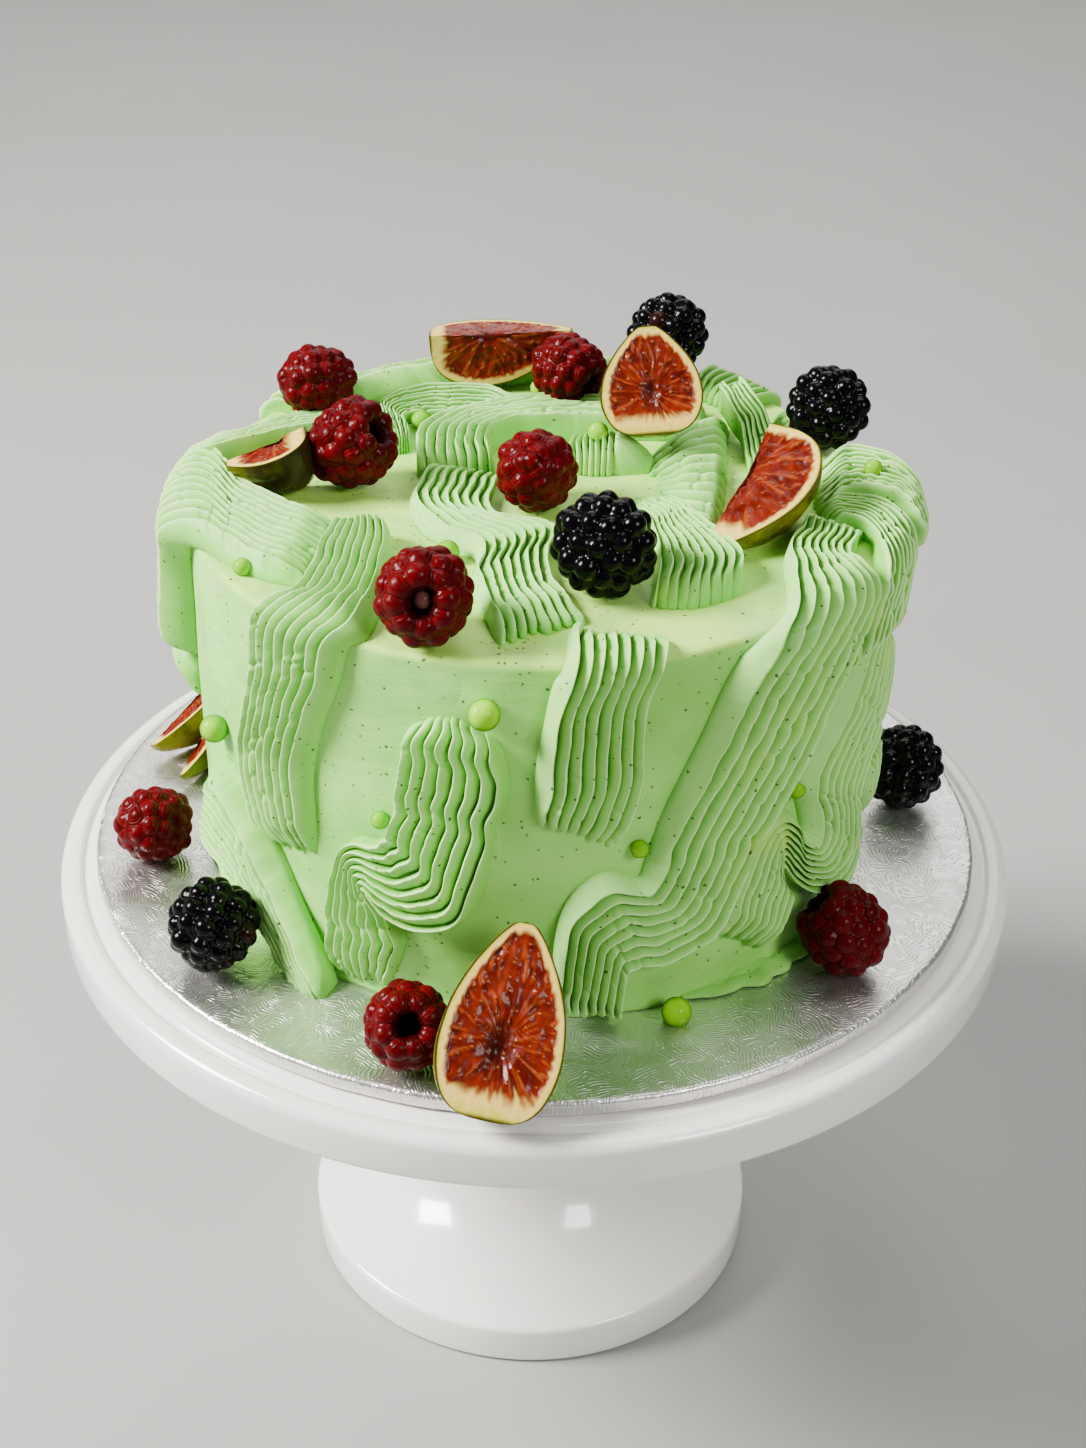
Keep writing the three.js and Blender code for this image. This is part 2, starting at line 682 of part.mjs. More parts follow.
// Everything that is laid cuts what comes after it, with a gap between them.
const laid = [
  boardSolid.translate([0, 0, gap]),
  turned(grown(cakeTop + gap), cakeSides),
  smear().translate([0, 0, gap]),
];
[...cakePearls, boardPearl].forEach(([centre, radius]) => laid.push(pearl(centre, radius + clearance)));

function lay(name, make, nodeMaterial) {
  let solid = make(0);
  laid.forEach((other) => {
    if (meets(solid, other)) solid = solid.subtract(other);
  });
  solid = largestPiece(solid);
  laid.push(make(clearance));
  const carried = ribbonPearls[name];
  if (carried) {
    solid = solid.add(pearl(...carried));
    laid.push(pearl(carried[0], carried[1] + clearance));
  }
  addNode(name, solid, nodeMaterial);
}

berries.forEach((one) => {
  const colour = one.name.startsWith('raspberry') ? raspberryMaterial : brambleMaterial;
  lay(one.name, (grow) => berry(one, grow), colour);
});
figs.forEach((one) => lay(one.name, (grow) => fig(one, grow), figMaterial));
ribbons.forEach((one) => lay(one.name, (grow) => ribbonSolid(one, grow), icingMaterial));

export default cake;
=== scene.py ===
# Round layer cake with piped green icing, figs and berries, on a foil board and a white stand.
# The scene is in metres, +Z up, with the cake's front towards -Y. Places measured on the
# object are in millimetres and are turned into metres where a mesh is made.
import math

import bmesh
import bpy
import numpy as np
from mathutils import Matrix, Vector, noise
from mathutils.kdtree import KDTree


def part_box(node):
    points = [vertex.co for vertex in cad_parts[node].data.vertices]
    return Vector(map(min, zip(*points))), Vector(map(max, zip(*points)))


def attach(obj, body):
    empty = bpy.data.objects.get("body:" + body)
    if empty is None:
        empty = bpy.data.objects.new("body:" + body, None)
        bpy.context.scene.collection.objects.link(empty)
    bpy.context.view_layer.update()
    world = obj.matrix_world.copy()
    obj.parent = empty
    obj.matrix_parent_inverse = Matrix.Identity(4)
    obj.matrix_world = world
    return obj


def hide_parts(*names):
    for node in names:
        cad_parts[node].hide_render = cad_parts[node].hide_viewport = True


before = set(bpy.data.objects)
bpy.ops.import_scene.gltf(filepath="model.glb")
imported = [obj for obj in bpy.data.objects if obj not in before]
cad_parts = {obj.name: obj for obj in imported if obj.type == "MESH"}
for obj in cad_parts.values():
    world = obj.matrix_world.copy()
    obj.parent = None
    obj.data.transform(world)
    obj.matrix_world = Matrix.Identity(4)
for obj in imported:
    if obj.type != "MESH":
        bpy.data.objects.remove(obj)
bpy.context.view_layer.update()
bpy.ops.object.select_all(action="DESELECT")
print("frame loaded:", len(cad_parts), "nodes")

mm = 0.001
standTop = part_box("stand")[1].z / mm
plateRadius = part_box("stand")[1].x / mm
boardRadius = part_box("board")[1].x / mm
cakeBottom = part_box("cake")[0].z / mm
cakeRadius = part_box("cake")[1].x / mm


# Objects and meshes


def onlyActive(piece):
    bpy.ops.object.select_all(action="DESELECT")
    piece.select_set(True)
    bpy.context.view_layer.objects.active = piece


def addObject(name, mesh):
    piece = bpy.data.objects.new(name, mesh)
    bpy.context.scene.collection.objects.link(piece)
    onlyActive(piece)
    return piece


def finishPiece(piece, material, slot, *nodes):
    # Gives a piece its finish and its body, and hides the nodes that it stands for
    piece.data.materials.clear()
    piece.data.materials.append(material)
    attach(piece, "root")
    if nodes:
        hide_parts(*nodes)


def applyModifier(piece, kind, **settings):
    onlyActive(piece)
    modifier = piece.modifiers.new(kind.lower(), kind)
    for key, value in settings.items():
        setattr(modifier, key, value)
    bpy.ops.object.modifier_apply(modifier=modifier.name)


def mendMesh(merge=None):
    # Merges points of the active piece closer than `merge` metres and turns its faces outwards
    bpy.ops.object.mode_set(mode="EDIT")
    bpy.ops.mesh.select_all(action="SELECT")
    if merge is not None:
        bpy.ops.mesh.remove_doubles(threshold=merge)
    bpy.ops.mesh.normals_make_consistent(inside=False)
    bpy.ops.object.mode_set(mode="OBJECT")


def spun(name, outline, steps):
    # Spins an outline of (radius, height) points about the Z axis and closes it
    mesh = bpy.data.meshes.new(name)
    points = [(radius * mm, 0, height * mm) for radius, height in outline]
    mesh.from_pydata(points, [(i, i + 1) for i in range(len(points) - 1)], [])
    piece = addObject(name, mesh)
    bpy.ops.object.mode_set(mode="EDIT")
    bpy.ops.mesh.select_all(action="SELECT")
    bpy.ops.mesh.spin(steps=steps, angle=2 * math.pi, center=(0, 0, 0), axis=(0, 0, 1))
    bpy.ops.object.mode_set(mode="OBJECT")
    mendMesh(0.01 * mm)
    bpy.ops.object.shade_smooth()
    return piece


def arc(centreRadius, centreHeight, size, start, end, steps):
    points = []
    for i in range(steps + 1):
        angle = math.radians(start + (end - start) * i / steps)
        points.append((centreRadius + size * math.cos(angle), centreHeight + size * math.sin(angle)))
    return points


def between(start, end, steps):
    # Points after start, up to and with end, on a straight line
    return [
        (start[0] + (end[0] - start[0]) * i / steps, start[1] + (end[1] - start[1]) * i / steps)
        for i in range(1, steps + 1)
    ]


def smooth(value):
    value = np.clip(value, 0, 1)
    return value * value * (3 - 2 * value)


def floatAttribute(mesh, name, values):
    attribute = mesh.attributes.new(name, "FLOAT", "POINT")
    attribute.data.foreach_set("value", np.asarray(values, dtype=np.float32))


# Shader helpers


class Nodes:
    # One material or group, with short calls to add and join its nodes
    def __init__(self, tree):
        self.tree = tree

    def link(self, start, end):
        self.tree.links.new(start, end)

    def feed(self, socket, value):
        # Joins a socket to another one, or gives it a plain value
        if isinstance(value, bpy.types.NodeSocket):
            self.link(value, socket)
        else:
            socket.default_value = value

    def fill(self, node, inputs):
        for key, value in inputs.items():
            self.feed(node.inputs[key.replace("_", " ")], value)

    def add(self, kind, **inputs):
        node = self.tree.nodes.new(kind)
        self.fill(node, inputs)
        return node

    def math(self, operation, first, second=0.0):
        node = self.tree.nodes.new("ShaderNodeMath")
        node.operation = operation
        self.feed(node.inputs[0], first)
        self.feed(node.inputs[1], second)
        return node.outputs[0]

    def times(self, first, second):
        return self.math("MULTIPLY", first, second)

    def mix(self, share, first, second):
        node = self.tree.nodes.new("ShaderNodeMix")
        node.data_type = "RGBA"
        for socket, value in ((node.inputs[0], share), (node.inputs[6], first), (node.inputs[7], second)):
            self.feed(socket, (*value, 1) if isinstance(value, tuple) else value)
        return node.outputs[2]

    def span(self, value, low, high, toLow=0.0, toHigh=1.0):
        node = self.tree.nodes.new("ShaderNodeMapRange")
        node.interpolation_type = "SMOOTHSTEP"
        limits = {"From Min": low, "From Max": high, "To Min": toLow, "To Max": toHigh}
        self.fill(node, {"Value": value, **limits})
        return node.outputs["Result"]

    def objectPlace(self):
        return self.tree.nodes.new("ShaderNodeTexCoord").outputs["Object"]

    def attribute(self, name):
        node = self.tree.nodes.new("ShaderNodeAttribute")
        node.attribute_name = name
        return node.outputs["Fac"]

    def noise(self, place, scale, detail=2.0, roughness=0.5):
        node = self.add("ShaderNodeTexNoise", Vector=place, Scale=scale, Detail=detail, Roughness=roughness)
        return node.outputs["Fac"]

    def patchy(self, place, scale, low, high, detail=3.0, roughness=0.5):
        # A value that changes between two limits from patch to patch
        return self.span(self.noise(place, scale, detail, roughness), 0.3, 0.7, low, high)

    def tone(self, place, scale, first, second):
        # A colour that changes slowly between two
        colours = {"First": (*first, 1), "Second": (*second, 1)}
        return useGroup(self, toneGroup, Place=place, Scale=scale, **colours)["Color"]

    def bent(self, place, scale, reach):
        # The places, each pushed aside by a noise
        push = self.add("ShaderNodeTexNoise", Vector=place, Scale=scale, Detail=1.0)
        moved = self.tree.nodes.new("ShaderNodeVectorMath")
        moved.operation = "SCALE"
        self.link(push.outputs["Color"], moved.inputs[0])
        moved.inputs["Scale"].default_value = reach
        result = self.tree.nodes.new("ShaderNodeVectorMath")
        result.operation = "ADD"
        self.link(place, result.inputs[0])
        self.link(moved.outputs[0], result.inputs[1])
        return result.outputs[0]

    def bump(self, height, strength, distance, normal=None):
        node = self.add("ShaderNodeBump", Height=height, Strength=strength, Distance=distance)
        if normal is not None:
            self.link(normal, node.inputs["Normal"])
        return node.outputs["Normal"]


def newGroup(name, inputs, outputs):
    tree = bpy.data.node_groups.new(name, "ShaderNodeTree")
    for label, kind, value in inputs:
        socket = tree.interface.new_socket(label, in_out="INPUT", socket_type=kind)
        if value is not None:
            socket.default_value = value
    for label, kind in outputs:
        tree.interface.new_socket(label, in_out="OUTPUT", socket_type=kind)
    nodes = Nodes(tree)
    start = tree.nodes.new("NodeGroupInput")
    end = tree.nodes.new("NodeGroupOutput")
    return nodes, start.outputs, end.inputs


def useGroup(nodes, tree, **inputs):
    node = nodes.tree.nodes.new("ShaderNodeGroup")
    node.node_tree = tree
    nodes.fill(node, inputs)
    return node.outputs


def newMaterial(name):
    material = bpy.data.materials.new(name)
    material.use_nodes = True
    nodes = Nodes(material.node_tree)
    shader = material.node_tree.nodes["Principled BSDF"]
    return material, nodes, shader


# Shared effects

floatKind = "NodeSocketFloat"
colourKind = "NodeSocketColor"
vectorKind = "NodeSocketVector"


def makeSpecks():
    # Small dark dots of many sizes, some places with more of them
    nodes, given, put = newGroup(
        "specks",
        [
            ("Place", vectorKind, None), ("Scale", floatKind, 300.0),
            ("Size", floatKind, 0.12), ("Share", floatKind, 0.3),
        ],
        [("Mask", floatKind)],
    )
    place = nodes.bent(given["Place"], 900.0, 0.0012)
    cells = nodes.add("ShaderNodeTexVoronoi", Vector=place, Scale=given["Scale"])
    hue = nodes.add("ShaderNodeSeparateColor", Color=cells.outputs["Color"])
    crowd = nodes.noise(given["Place"], 45.0)
    share = nodes.times(given["Share"], nodes.span(crowd, 0.35, 0.65, 0.3, 1.7))
    there = nodes.math("LESS_THAN", hue.outputs["Red"], share)
    size = nodes.times(given["Size"], nodes.math("ADD", hue.outputs["Green"], 0.35))
    near = nodes.math("LESS_THAN", cells.outputs["Distance"], size)
    nodes.link(nodes.times(there, near), put["Mask"])
    return nodes.tree


def makeTone():
    # Slow change from one colour to another
    nodes, given, put = newGroup(
        "tone",
        [
            ("Place", vectorKind, None), ("Scale", floatKind, 20.0),
            ("First", colourKind, None), ("Second", colourKind, None),
        ],
        [("Color", colourKind)],
    )
    slow = nodes.noise(given["Place"], given["Scale"], 3.0, 0.55)
    nodes.link(nodes.mix(nodes.span(slow, 0.32, 0.68), given["First"], given["Second"]), put["Color"])
    return nodes.tree


speckGroup = makeSpecks()
toneGroup = makeTone()

# Icing

icing = {
    "wall": (0.33, 0.73, 0.15),
    "wallDeep": (0.215, 0.56, 0.088),
    "top": (0.44, 0.73, 0.10),
    "topDeep": (0.32, 0.56, 0.12),
    "ribbon": (0.235, 0.62, 0.095),
    "ribbonDeep": (0.19, 0.54, 0.07),
    # Colour of the painted highlight on the piped lips
    "paintedHighlight": (0.58, 0.87, 0.36),
    # Colour of the painted shade in the grooves and in the wall's pits
    "groove": (0.045, 0.20, 0.018),
    "butter": (0.46, 0.70, 0.075),
    "speck": (0.012, 0.04, 0.004),
    # How much painted highlight, painted groove shade and painted pit shade are mixed in
    "paintedHighlightShare": 0.72,
    "grooveShadeShare": 0.88,
    "pitShadeShare": -0.5,
    "speckShare": 0.85,
    "roughness": 0.48,
    "roughChange": 0.12,
    "scatter": 0.0007,
    "scatterWeight": 0.12,
}


def icingMaterial(name, plain, deep, piped):
    material, nodes, shader = newMaterial(name)
    place = nodes.objectPlace()
    colour = nodes.tone(place, 26.0, plain, deep)
    if piped:
        # Painted highlight on the lips, up each pleat and on some strips
        paintedHighlight = nodes.times(nodes.attribute("paintedHighlight"), icing["paintedHighlightShare"])
        colour = nodes.mix(paintedHighlight, colour, icing["paintedHighlight"])
        butter = nodes.span(nodes.noise(place, 34.0, 3.0, 0.6), 0.58, 0.74, 0.0, 0.55)
        colour = nodes.mix(butter, colour, icing["butter"])
        # Painted shade in the grooves between the pleats
        groove = nodes.times(nodes.attribute("groove"), icing["grooveShadeShare"])
        colour = nodes.mix(groove, colour, icing["groove"])
    else:
        height = nodes.add("ShaderNodeSeparateXYZ", Vector=place).outputs["Z"]
        above = nodes.span(height, (cake["top"] - 2.2) * mm, (cake["top"] - 0.2) * mm, 0.0, 0.8)
        mottle = nodes.span(nodes.noise(place, 32.0, 4.0, 0.6), 0.45, 0.62)
        colour = nodes.mix(above, colour, nodes.mix(mottle, icing["top"], icing["topDeep"]))
        dents = nodes.add("ShaderNodeTexVoronoi", Vector=place, Scale=400.0, Randomness=1.0)
        pick = nodes.add("ShaderNodeSeparateColor", Color=dents.outputs["Color"])
        crowd = nodes.span(nodes.noise(place, 38.0), 0.48, 0.66, 0.03, 0.4)
        few = nodes.math("LESS_THAN", pick.outputs["Red"], crowd)
        pits = nodes.times(few, nodes.span(dents.outputs["Distance"], 0.06, 0.2, -1.0, 0.0))
        # Painted shade in the small pits of the wall
        colour = nodes.mix(nodes.times(pits, icing["pitShadeShare"]), colour, icing["groove"])
    fine = useGroup(nodes, speckGroup, Place=place, Scale=700.0, Size=0.23, Share=0.13)
    large = useGroup(nodes, speckGroup, Place=place, Scale=260.0, Size=0.12, Share=0.07)
    speck = nodes.math("MAXIMUM", fine["Mask"], large["Mask"])
    normal = nodes.bump(nodes.noise(place, 520.0, 3.0, 0.6), 0.14, 0.0004)
    if not piped:
        turned = nodes.add("ShaderNodeMapping", Vector=place, Rotation=(0.5, 0.2, 0.6))
        turned.inputs["Scale"].default_value = (1.0, 1.6, 4.5)
        strokes = nodes.noise(turned.outputs["Vector"], 34.0, 5.0, 0.62)
        normal = nodes.bump(strokes, 0.36, 0.0014, normal)
        facets = nodes.math("ABSOLUTE", nodes.math("SUBTRACT", nodes.noise(place, 17.0, 3.0, 0.45), 0.5))
        normal = nodes.bump(facets, 0.85, 0.006, normal)
        normal = nodes.bump(pits, 0.8, 0.0007, normal)
    low = icing["roughness"] - icing["roughChange"]
    high = icing["roughness"] + icing["roughChange"]
    nodes.fill(shader, {
        "Base Color": nodes.mix(nodes.times(speck, icing["speckShare"]), colour, icing["speck"]),
        "Roughness": nodes.patchy(place, 60.0, low, high, 4.0, 0.6),
        "Subsurface Weight": icing["scatterWeight"],
        "Subsurface Radius": (0.9, 1.0, 0.4),
        "Subsurface Scale": icing["scatter"],
        "Specular IOR Level": 0.14,
        "Normal": nodes.bump(nodes.times(speck, -1.0), 0.5, 0.0005, normal),
    })
    return material


cake = {
    "top": 258.4,
    "fillet": 3.5,
    "rimRound": 1.7,
    "wallSteps": 110,
    "topSteps": 90,
    "around": 320,
    "unevenRim": 0.9,
    "unevenWall": 0.45,
    "rimHigh": 16,
    "rimWide": 8,
    "footHigh": 5,
}

wallIcing = icingMaterial("wallIcing", icing["wall"], icing["wallDeep"], False)
ribbonIcing = icingMaterial("ribbonIcing", icing["ribbon"], icing["ribbonDeep"], True)

# Places on the sheet of icing: flat (x, y) pairs whose length is the way from the top's centre

sheetMiddle = 4.0
rimStart = cakeRadius - cake["fillet"]
rimBend = cake["fillet"] + sheetMiddle
rimWay = rimBend * math.pi / 2
filletHeight = cake["top"] - cake["fillet"]


def top(x, y):
    return (x, y)


def side(degrees, height):
    if height <= filletHeight:
        way = rimStart + rimWay + filletHeight - height
    else:
        way = rimStart + rimBend * math.acos(min(1, (height - filletHeight) / rimBend))
    return (way * math.cos(math.radians(degrees)), way * math.sin(math.radians(degrees)))


def lifted(place, lift):
    # Points in millimetres that stand `lift` above the cake at places on the sheet
    way = np.hypot(place[..., 0], place[..., 1])
    safe = np.maximum(way, 1e-6)
    cosine = place[..., 0] / safe
    sine = place[..., 1] / safe
    bend = np.clip((way - rimStart) / rimBend, 0, math.pi / 2)
    over = way > rimStart
    radius = np.where(over, rimStart + (cake["fillet"] + lift) * np.sin(bend), way)
    drop = np.maximum(0, way - rimStart - rimWay)
    height = np.where(over, filletHeight + (cake["fillet"] + lift) * np.cos(bend) - drop, cake["top"] + lift)
    return np.stack([radius * cosine, radius * sine, height], axis=-1)


# Stand

stand = {
    "footRadius": 69.7,
    "footLip": 14.0,
    "footRecess": 2.5,
    "plateSkirt": 13.5,
    "stemRadius": 21.0,
    "around": 192,
    "colour": (0.82, 0.80, 0.775),
    "warmShare": 0.97,
    "footSlope": [
        (59, 17.2), (53, 19.6), (47.5, 22.4), (42.5, 26), (38, 30.6), (34.2, 36), (31, 42.2), (28.2, 49.2),
        (25.8, 57), (23.8, 65.5), (22.2, 74.5),
    ],
    "underPlate": [
        (21.6, 102), (23.2, 109), (25.8, 115), (29.6, 120), (35, 124), (42.5, 127.2), (52, 129.8),
        (64, 132.2), (80, 134.6), (98, 136.8), (114, 138.1),
    ],
}


def makeStandMaterial():
    material, nodes, shader = newMaterial("whiteGlaze")
    place = nodes.objectPlace()
    warm = tuple(part * stand["warmShare"] for part in stand["colour"])
    nodes.fill(shader, {
        "Base Color": nodes.tone(place, 9.0, stand["colour"], warm),
        "Roughness": nodes.patchy(place, 40.0, 0.13, 0.2),
        "Coat Weight": 0.6,
        "Coat Roughness": 0.06,
        "Subsurface Weight": 0.08,
        "Subsurface Scale": 0.003,
        "Normal": nodes.bump(nodes.noise(place, 22.0), 0.05, 0.002),
    })
    return material


def makeStand():
    foot = stand["footRadius"]
    lip = stand["footLip"]
    recess = stand["footRecess"]
    stem = stand["stemRadius"]
    plate = plateRadius
    skirt = standTop - stand["plateSkirt"]
    outline = [(0, recess), (foot - 9, recess), (foot - 7.6, 2), (foot - 7, 0)]
    outline += [(foot - 4, 0), *arc(foot - 1.8, 1.8, 1.8, -90, 0, 5)]
    outline += [(foot, lip / 2), *arc(foot - 2.2, lip - 2.2, 2.2, 0, 75, 5)]
    outline += [(foot - 6, lip + 1.1), *stand["footSlope"], (stem, 84), (stem, 94), *stand["underPlate"]]
    outline += [(plate - 7, 138.4), (plate - 5.2, 138), (plate - 4.4, skirt + 0.4), (plate - 3.6, skirt)]
    outline += [(plate - 1.6, skirt), *arc(plate - 1.4, skirt + 1.4, 1.4, -70, 0, 4)]
    outline += arc(plate - 3.2, standTop - 3.2, 3.2, 0, 90, 7)
    groove = [(5.4, 0), (6, 0.5), (6.4, 1.3), (7.2, 1.4), (8, 0.6), (9, 0.2), (12, 0.1)]
    outline += [(plate - inwards, standTop - down) for inwards, down in groove]
    outline += [(100, standTop), (50, standTop), (0, standTop)]
    piece = spun("cakeStand", outline, stand["around"])
    finishPiece(piece, makeStandMaterial(), "ceramic", "stand")
    print("stand made")


# Board

board = {
    "top": 155.0,
    "around": 256,
    "foil": (0.78, 0.77, 0.745),
    "foilDark": (0.66, 0.655, 0.635),
    "overStand": 0.25,
    "edge": 1.3,
    "wrinkles": 200,
}


def makeEmboss():
    # Foil pressed in small patches, each with its own set of short curved strokes
    nodes, given, put = newGroup(
        "emboss",
        [("Place", vectorKind, None), ("Patch", floatKind, 175.0), ("Strokes", floatKind, 6200.0)],
        [("Height", floatKind)],
    )
    place = nodes.bent(given["Place"], 110.0, 0.007)
    cells = nodes.add("ShaderNodeTexVoronoi", Vector=place)
    cells.voronoi_dimensions = "2D"
    nodes.link(given["Patch"], cells.inputs["Scale"])
    hue = nodes.add("ShaderNodeSeparateColor", Color=cells.outputs["Color"])
    angle = nodes.times(hue.outputs["Red"], 6.28)
    axes = nodes.add("ShaderNodeSeparateXYZ", Vector=place)
    first = nodes.times(axes.outputs["X"], nodes.math("COSINE", angle))
    second = nodes.times(axes.outputs["Y"], nodes.math("SINE", angle))
    wave = nodes.math("SINE", nodes.times(nodes.math("ADD", first, second), given["Strokes"]))
    broken = nodes.noise(given["Place"], 420.0, 1.0)
    nodes.link(nodes.times(nodes.span(wave, -0.1, 0.9), nodes.span(broken, 0.38, 0.52)), put["Height"])
    return nodes.tree


def makeBoardMaterial():
    material, nodes, shader = newMaterial("embossedFoil")
    place = nodes.objectPlace()
    pressed = nodes.bump(useGroup(nodes, makeEmboss(), Place=place)["Height"], 0.42, 0.0003)
    nodes.fill(shader, {
        "Base Color": nodes.tone(place, 30.0, board["foil"], board["foilDark"]),
        "Metallic": 0.95,
        "Roughness": nodes.patchy(place, 55.0, 0.3, 0.38, 4.0, 0.6),
        "Normal": nodes.bump(nodes.noise(place, 24.0), 0.05, 0.002, pressed),
    })
    return material


def makeBoard():
    low = standTop + board["overStand"]
    high = board["top"]
    edge = board["edge"]
    inner = boardRadius - edge
    outline = [(0, low), (60, low), (inner, low), *arc(inner, low + edge, edge, -70, 0, 5)]
    outline += arc(inner, high - edge, edge, 0, 90, 7)
    outline += [(boardRadius - 3, high), (boardRadius - 5, high - 0.05)]
    outline += between((boardRadius - 5, high), (0, high), 24)
    piece = spun("foilBoard", outline, board["around"])
    wrinkles = np.random.default_rng(5)
    angles = np.linspace(0, 2 * math.pi, board["wrinkles"])
    pleats = wrinkles.uniform(-0.22, 0.12, board["wrinkles"])
    pleats[-1] = pleats[0]
    for vertex in piece.data.vertices:
        x, y, z = vertex.co / mm
        radius = math.hypot(x, y)
        if radius > boardRadius - 4:
            angle = math.atan2(y, x) % (2 * math.pi)
            push = 1 + np.interp(angle, angles, pleats) / boardRadius
            vertex.co = (x * push * mm, y * push * mm, z * mm)
        elif z > high - 1:
            wave = noise.noise(Vector((x, y, 0)) * 0.03) * 0.25
            vertex.co.z += (wave - 0.1) * mm
    finishPiece(piece, makeBoardMaterial(), "foil_board", "board")
    print("board made")


# Cake


def makeCake():
    low = cakeBottom - 0.1
    outline = [(0, low), *between((0, low), (cakeRadius, low), 4)]
    soft = cake["rimRound"]
    outline += between((cakeRadius, low), (cakeRadius, cake["top"] - soft), cake["wallSteps"])
    outline += arc(cakeRadius - soft, cake["top"] - soft, soft, 0, 90, 7)[1:]
    outline += between((cakeRadius - soft, cake["top"]), (0, cake["top"]), cake["topSteps"])
    piece = spun("icedCake", outline, cake["around"])
    vertices = piece.data.vertices
    places = np.empty(len(vertices) * 3)
    vertices.foreach_get("co", places)
    places = places.reshape(-1, 3) / mm
    for point in places:
        x, y, z = point
        radius = math.hypot(x, y)
        if z < low + 0.05 and radius < cakeRadius - 1:
            continue
        angle = math.atan2(y, x)
        rim = min(1, max(0, (z - cake["top"] + cake["rimHigh"]) / cake["rimHigh"]))
        rim *= min(1, max(0, (radius - rimStart + cake["rimWide"]) / cake["rimWide"]))
        here = Vector((x, y, z))
        broad = noise.noise(here * 0.028 + Vector((3, 7, 1)))
        stroke = noise.noise(Vector((angle * 9 + z * 0.05, z * 0.022, 4)))
        if radius > rimStart:
            wallPush = cake["unevenWall"] * (broad + 0.6 * stroke) - 0.25
            wallPush += 0.5 * rim * noise.noise(Vector((angle * 6, 2, 2)))
            toFoot = max(0, 1 - (z - low) / cake["footHigh"])
            wallPush += toFoot * toFoot * (1.1 + 1.4 * noise.noise(Vector((angle * 7, 9, 1))))
            scale = (radius + wallPush) / radius
            point[0] *= scale
            point[1] *= scale
        if z > filletHeight:
            ridge = math.exp(-(((radius - rimStart + 0.6) / 2.6) ** 2))
            swirl = noise.noise(Vector((radius * 0.09, angle * 1.6, 6)))
            point[2] += 0.35 * swirl + 0.3 * noise.noise(here * 0.05) - 0.25
            point[2] += ridge * cake["unevenRim"] * (0.25 + noise.noise(Vector((angle * 5, 5, 5))))
    vertices.foreach_set("co", (places * mm).ravel())
    piece.data.update()
    finishPiece(piece, wallIcing, "icing", "cake")
    print("cake made")


# Smear of icing on the board at the front right

smear = {
    "from": -66,
    "to": -33,
    "reach": 6.0,
    "height": 1.9,
    "sunk": 0.15,
    "under": 2,
    "thick": 1.2,
    "along": 70,
    "across": 14,
}


def makeSmear():
    points = []
    faces = []
    for i in range(smear["along"] + 1):
        share = i / smear["along"]
        angle = math.radians(smear["from"] + (smear["to"] - smear["from"]) * share)
        swell = math.sin(math.pi * share) ** 0.7
        reach = smear["reach"] * swell * (0.8 + 0.5 * noise.noise(Vector((share * 9, 1, 1)))) + 0.4
        for j in range(smear["across"] + 1):
            across = j / smear["across"]
            radius = cakeRadius - smear["under"] + (reach + smear["under"]) * across
            lift = smear["height"] * swell * math.sqrt(max(0, 1 - across**2.2))
            lift *= 0.75 + 0.5 * noise.noise(Vector((share * 14, across * 3, 2)))
            height = cakeBottom + lift - smear["sunk"]
            points.append((radius * math.cos(angle) * mm, radius * math.sin(angle) * mm, height * mm))
    row = smear["across"] + 1
    for i in range(smear["along"]):
        for j in range(smear["across"]):
            a = i * row + j
            faces.append((a, a + row, a + row + 1, a + 1))
    mesh = bpy.data.meshes.new("icingSmear")
    mesh.from_pydata(points, [], faces)
    piece = addObject("icingSmear", mesh)
    applyModifier(piece, "SOLIDIFY", thickness=smear["thick"] * mm, offset=-1)
    bpy.ops.object.shade_smooth()
    finishPiece(piece, wallIcing, "icing")


# Ribbons: a smooth strip and a row of pleats, swept between two rails on the sheet

pipe = {
    "pleats": 7,
    "strip": 0.15,
    "depth": 2.35,
    "spacing": 0.8,
    "under": -0.5,
    "thinnest": 0.2,
    "endZone": 3.4,
    "endRings": [0.06, 0.16, 0.32, 0.54, 0.82, 1.15, 1.55, 2.0, 2.6, 3.3],
    "samples": 24,
    "easing": 5,
    "nickEvery": 24,
    "ruffled": 3,
    "rufflePitch": 3.6,
}

# One pleat, as (share of its pitch, share of the depth), from the last lip's foot to its own lip
pleatCurve = [
    (0.024, 1.0), (0.085, 0.86), (0.15, 0.70), (0.25, 0.53), (0.38, 0.38), (0.54, 0.25), (0.70, 0.13),
    (0.84, 0.03), (0.93, -0.05), (0.985, -0.07),
]
lipCurve = [(1.03, 0.06), (1.052, 0.2), (1.056, 0.45), (1.036, 0.8)]

# How the end of a ribbon is left, in mm: how far it is rounded over, how much each pleat is scalloped, how
# unevenly pleats stop, how far the middle reaches on, and how long the thinner and the plain parts are.
# Only thin is a share: that of the thickness left at the very end
endFields = ("round", "scallop", "uneven", "dome", "taper", "thin", "plain")
endTable = {
    "scallop": (1.9, 1.9, 1.2, 0.0, 8.0, 0.55, 1.2),
    "blunt": (4.0, 0.9, 0.6, 1.2, 4.0, 0.85, 4.5),
    "torn": (1.5, 2.6, 3.0, 0.0, 9.0, 0.5, 1.2),
    "tucked": (3.4, 0.5, 0.8, 3.5, 6.0, 0.6, 1.2),
    "bulge": (7.5, 0.5, 0.5, 5.0, 7.0, 0.8, 11.0),
}
endKinds = {kind: dict(zip(endFields, values)) for kind, values in endTable.items()}


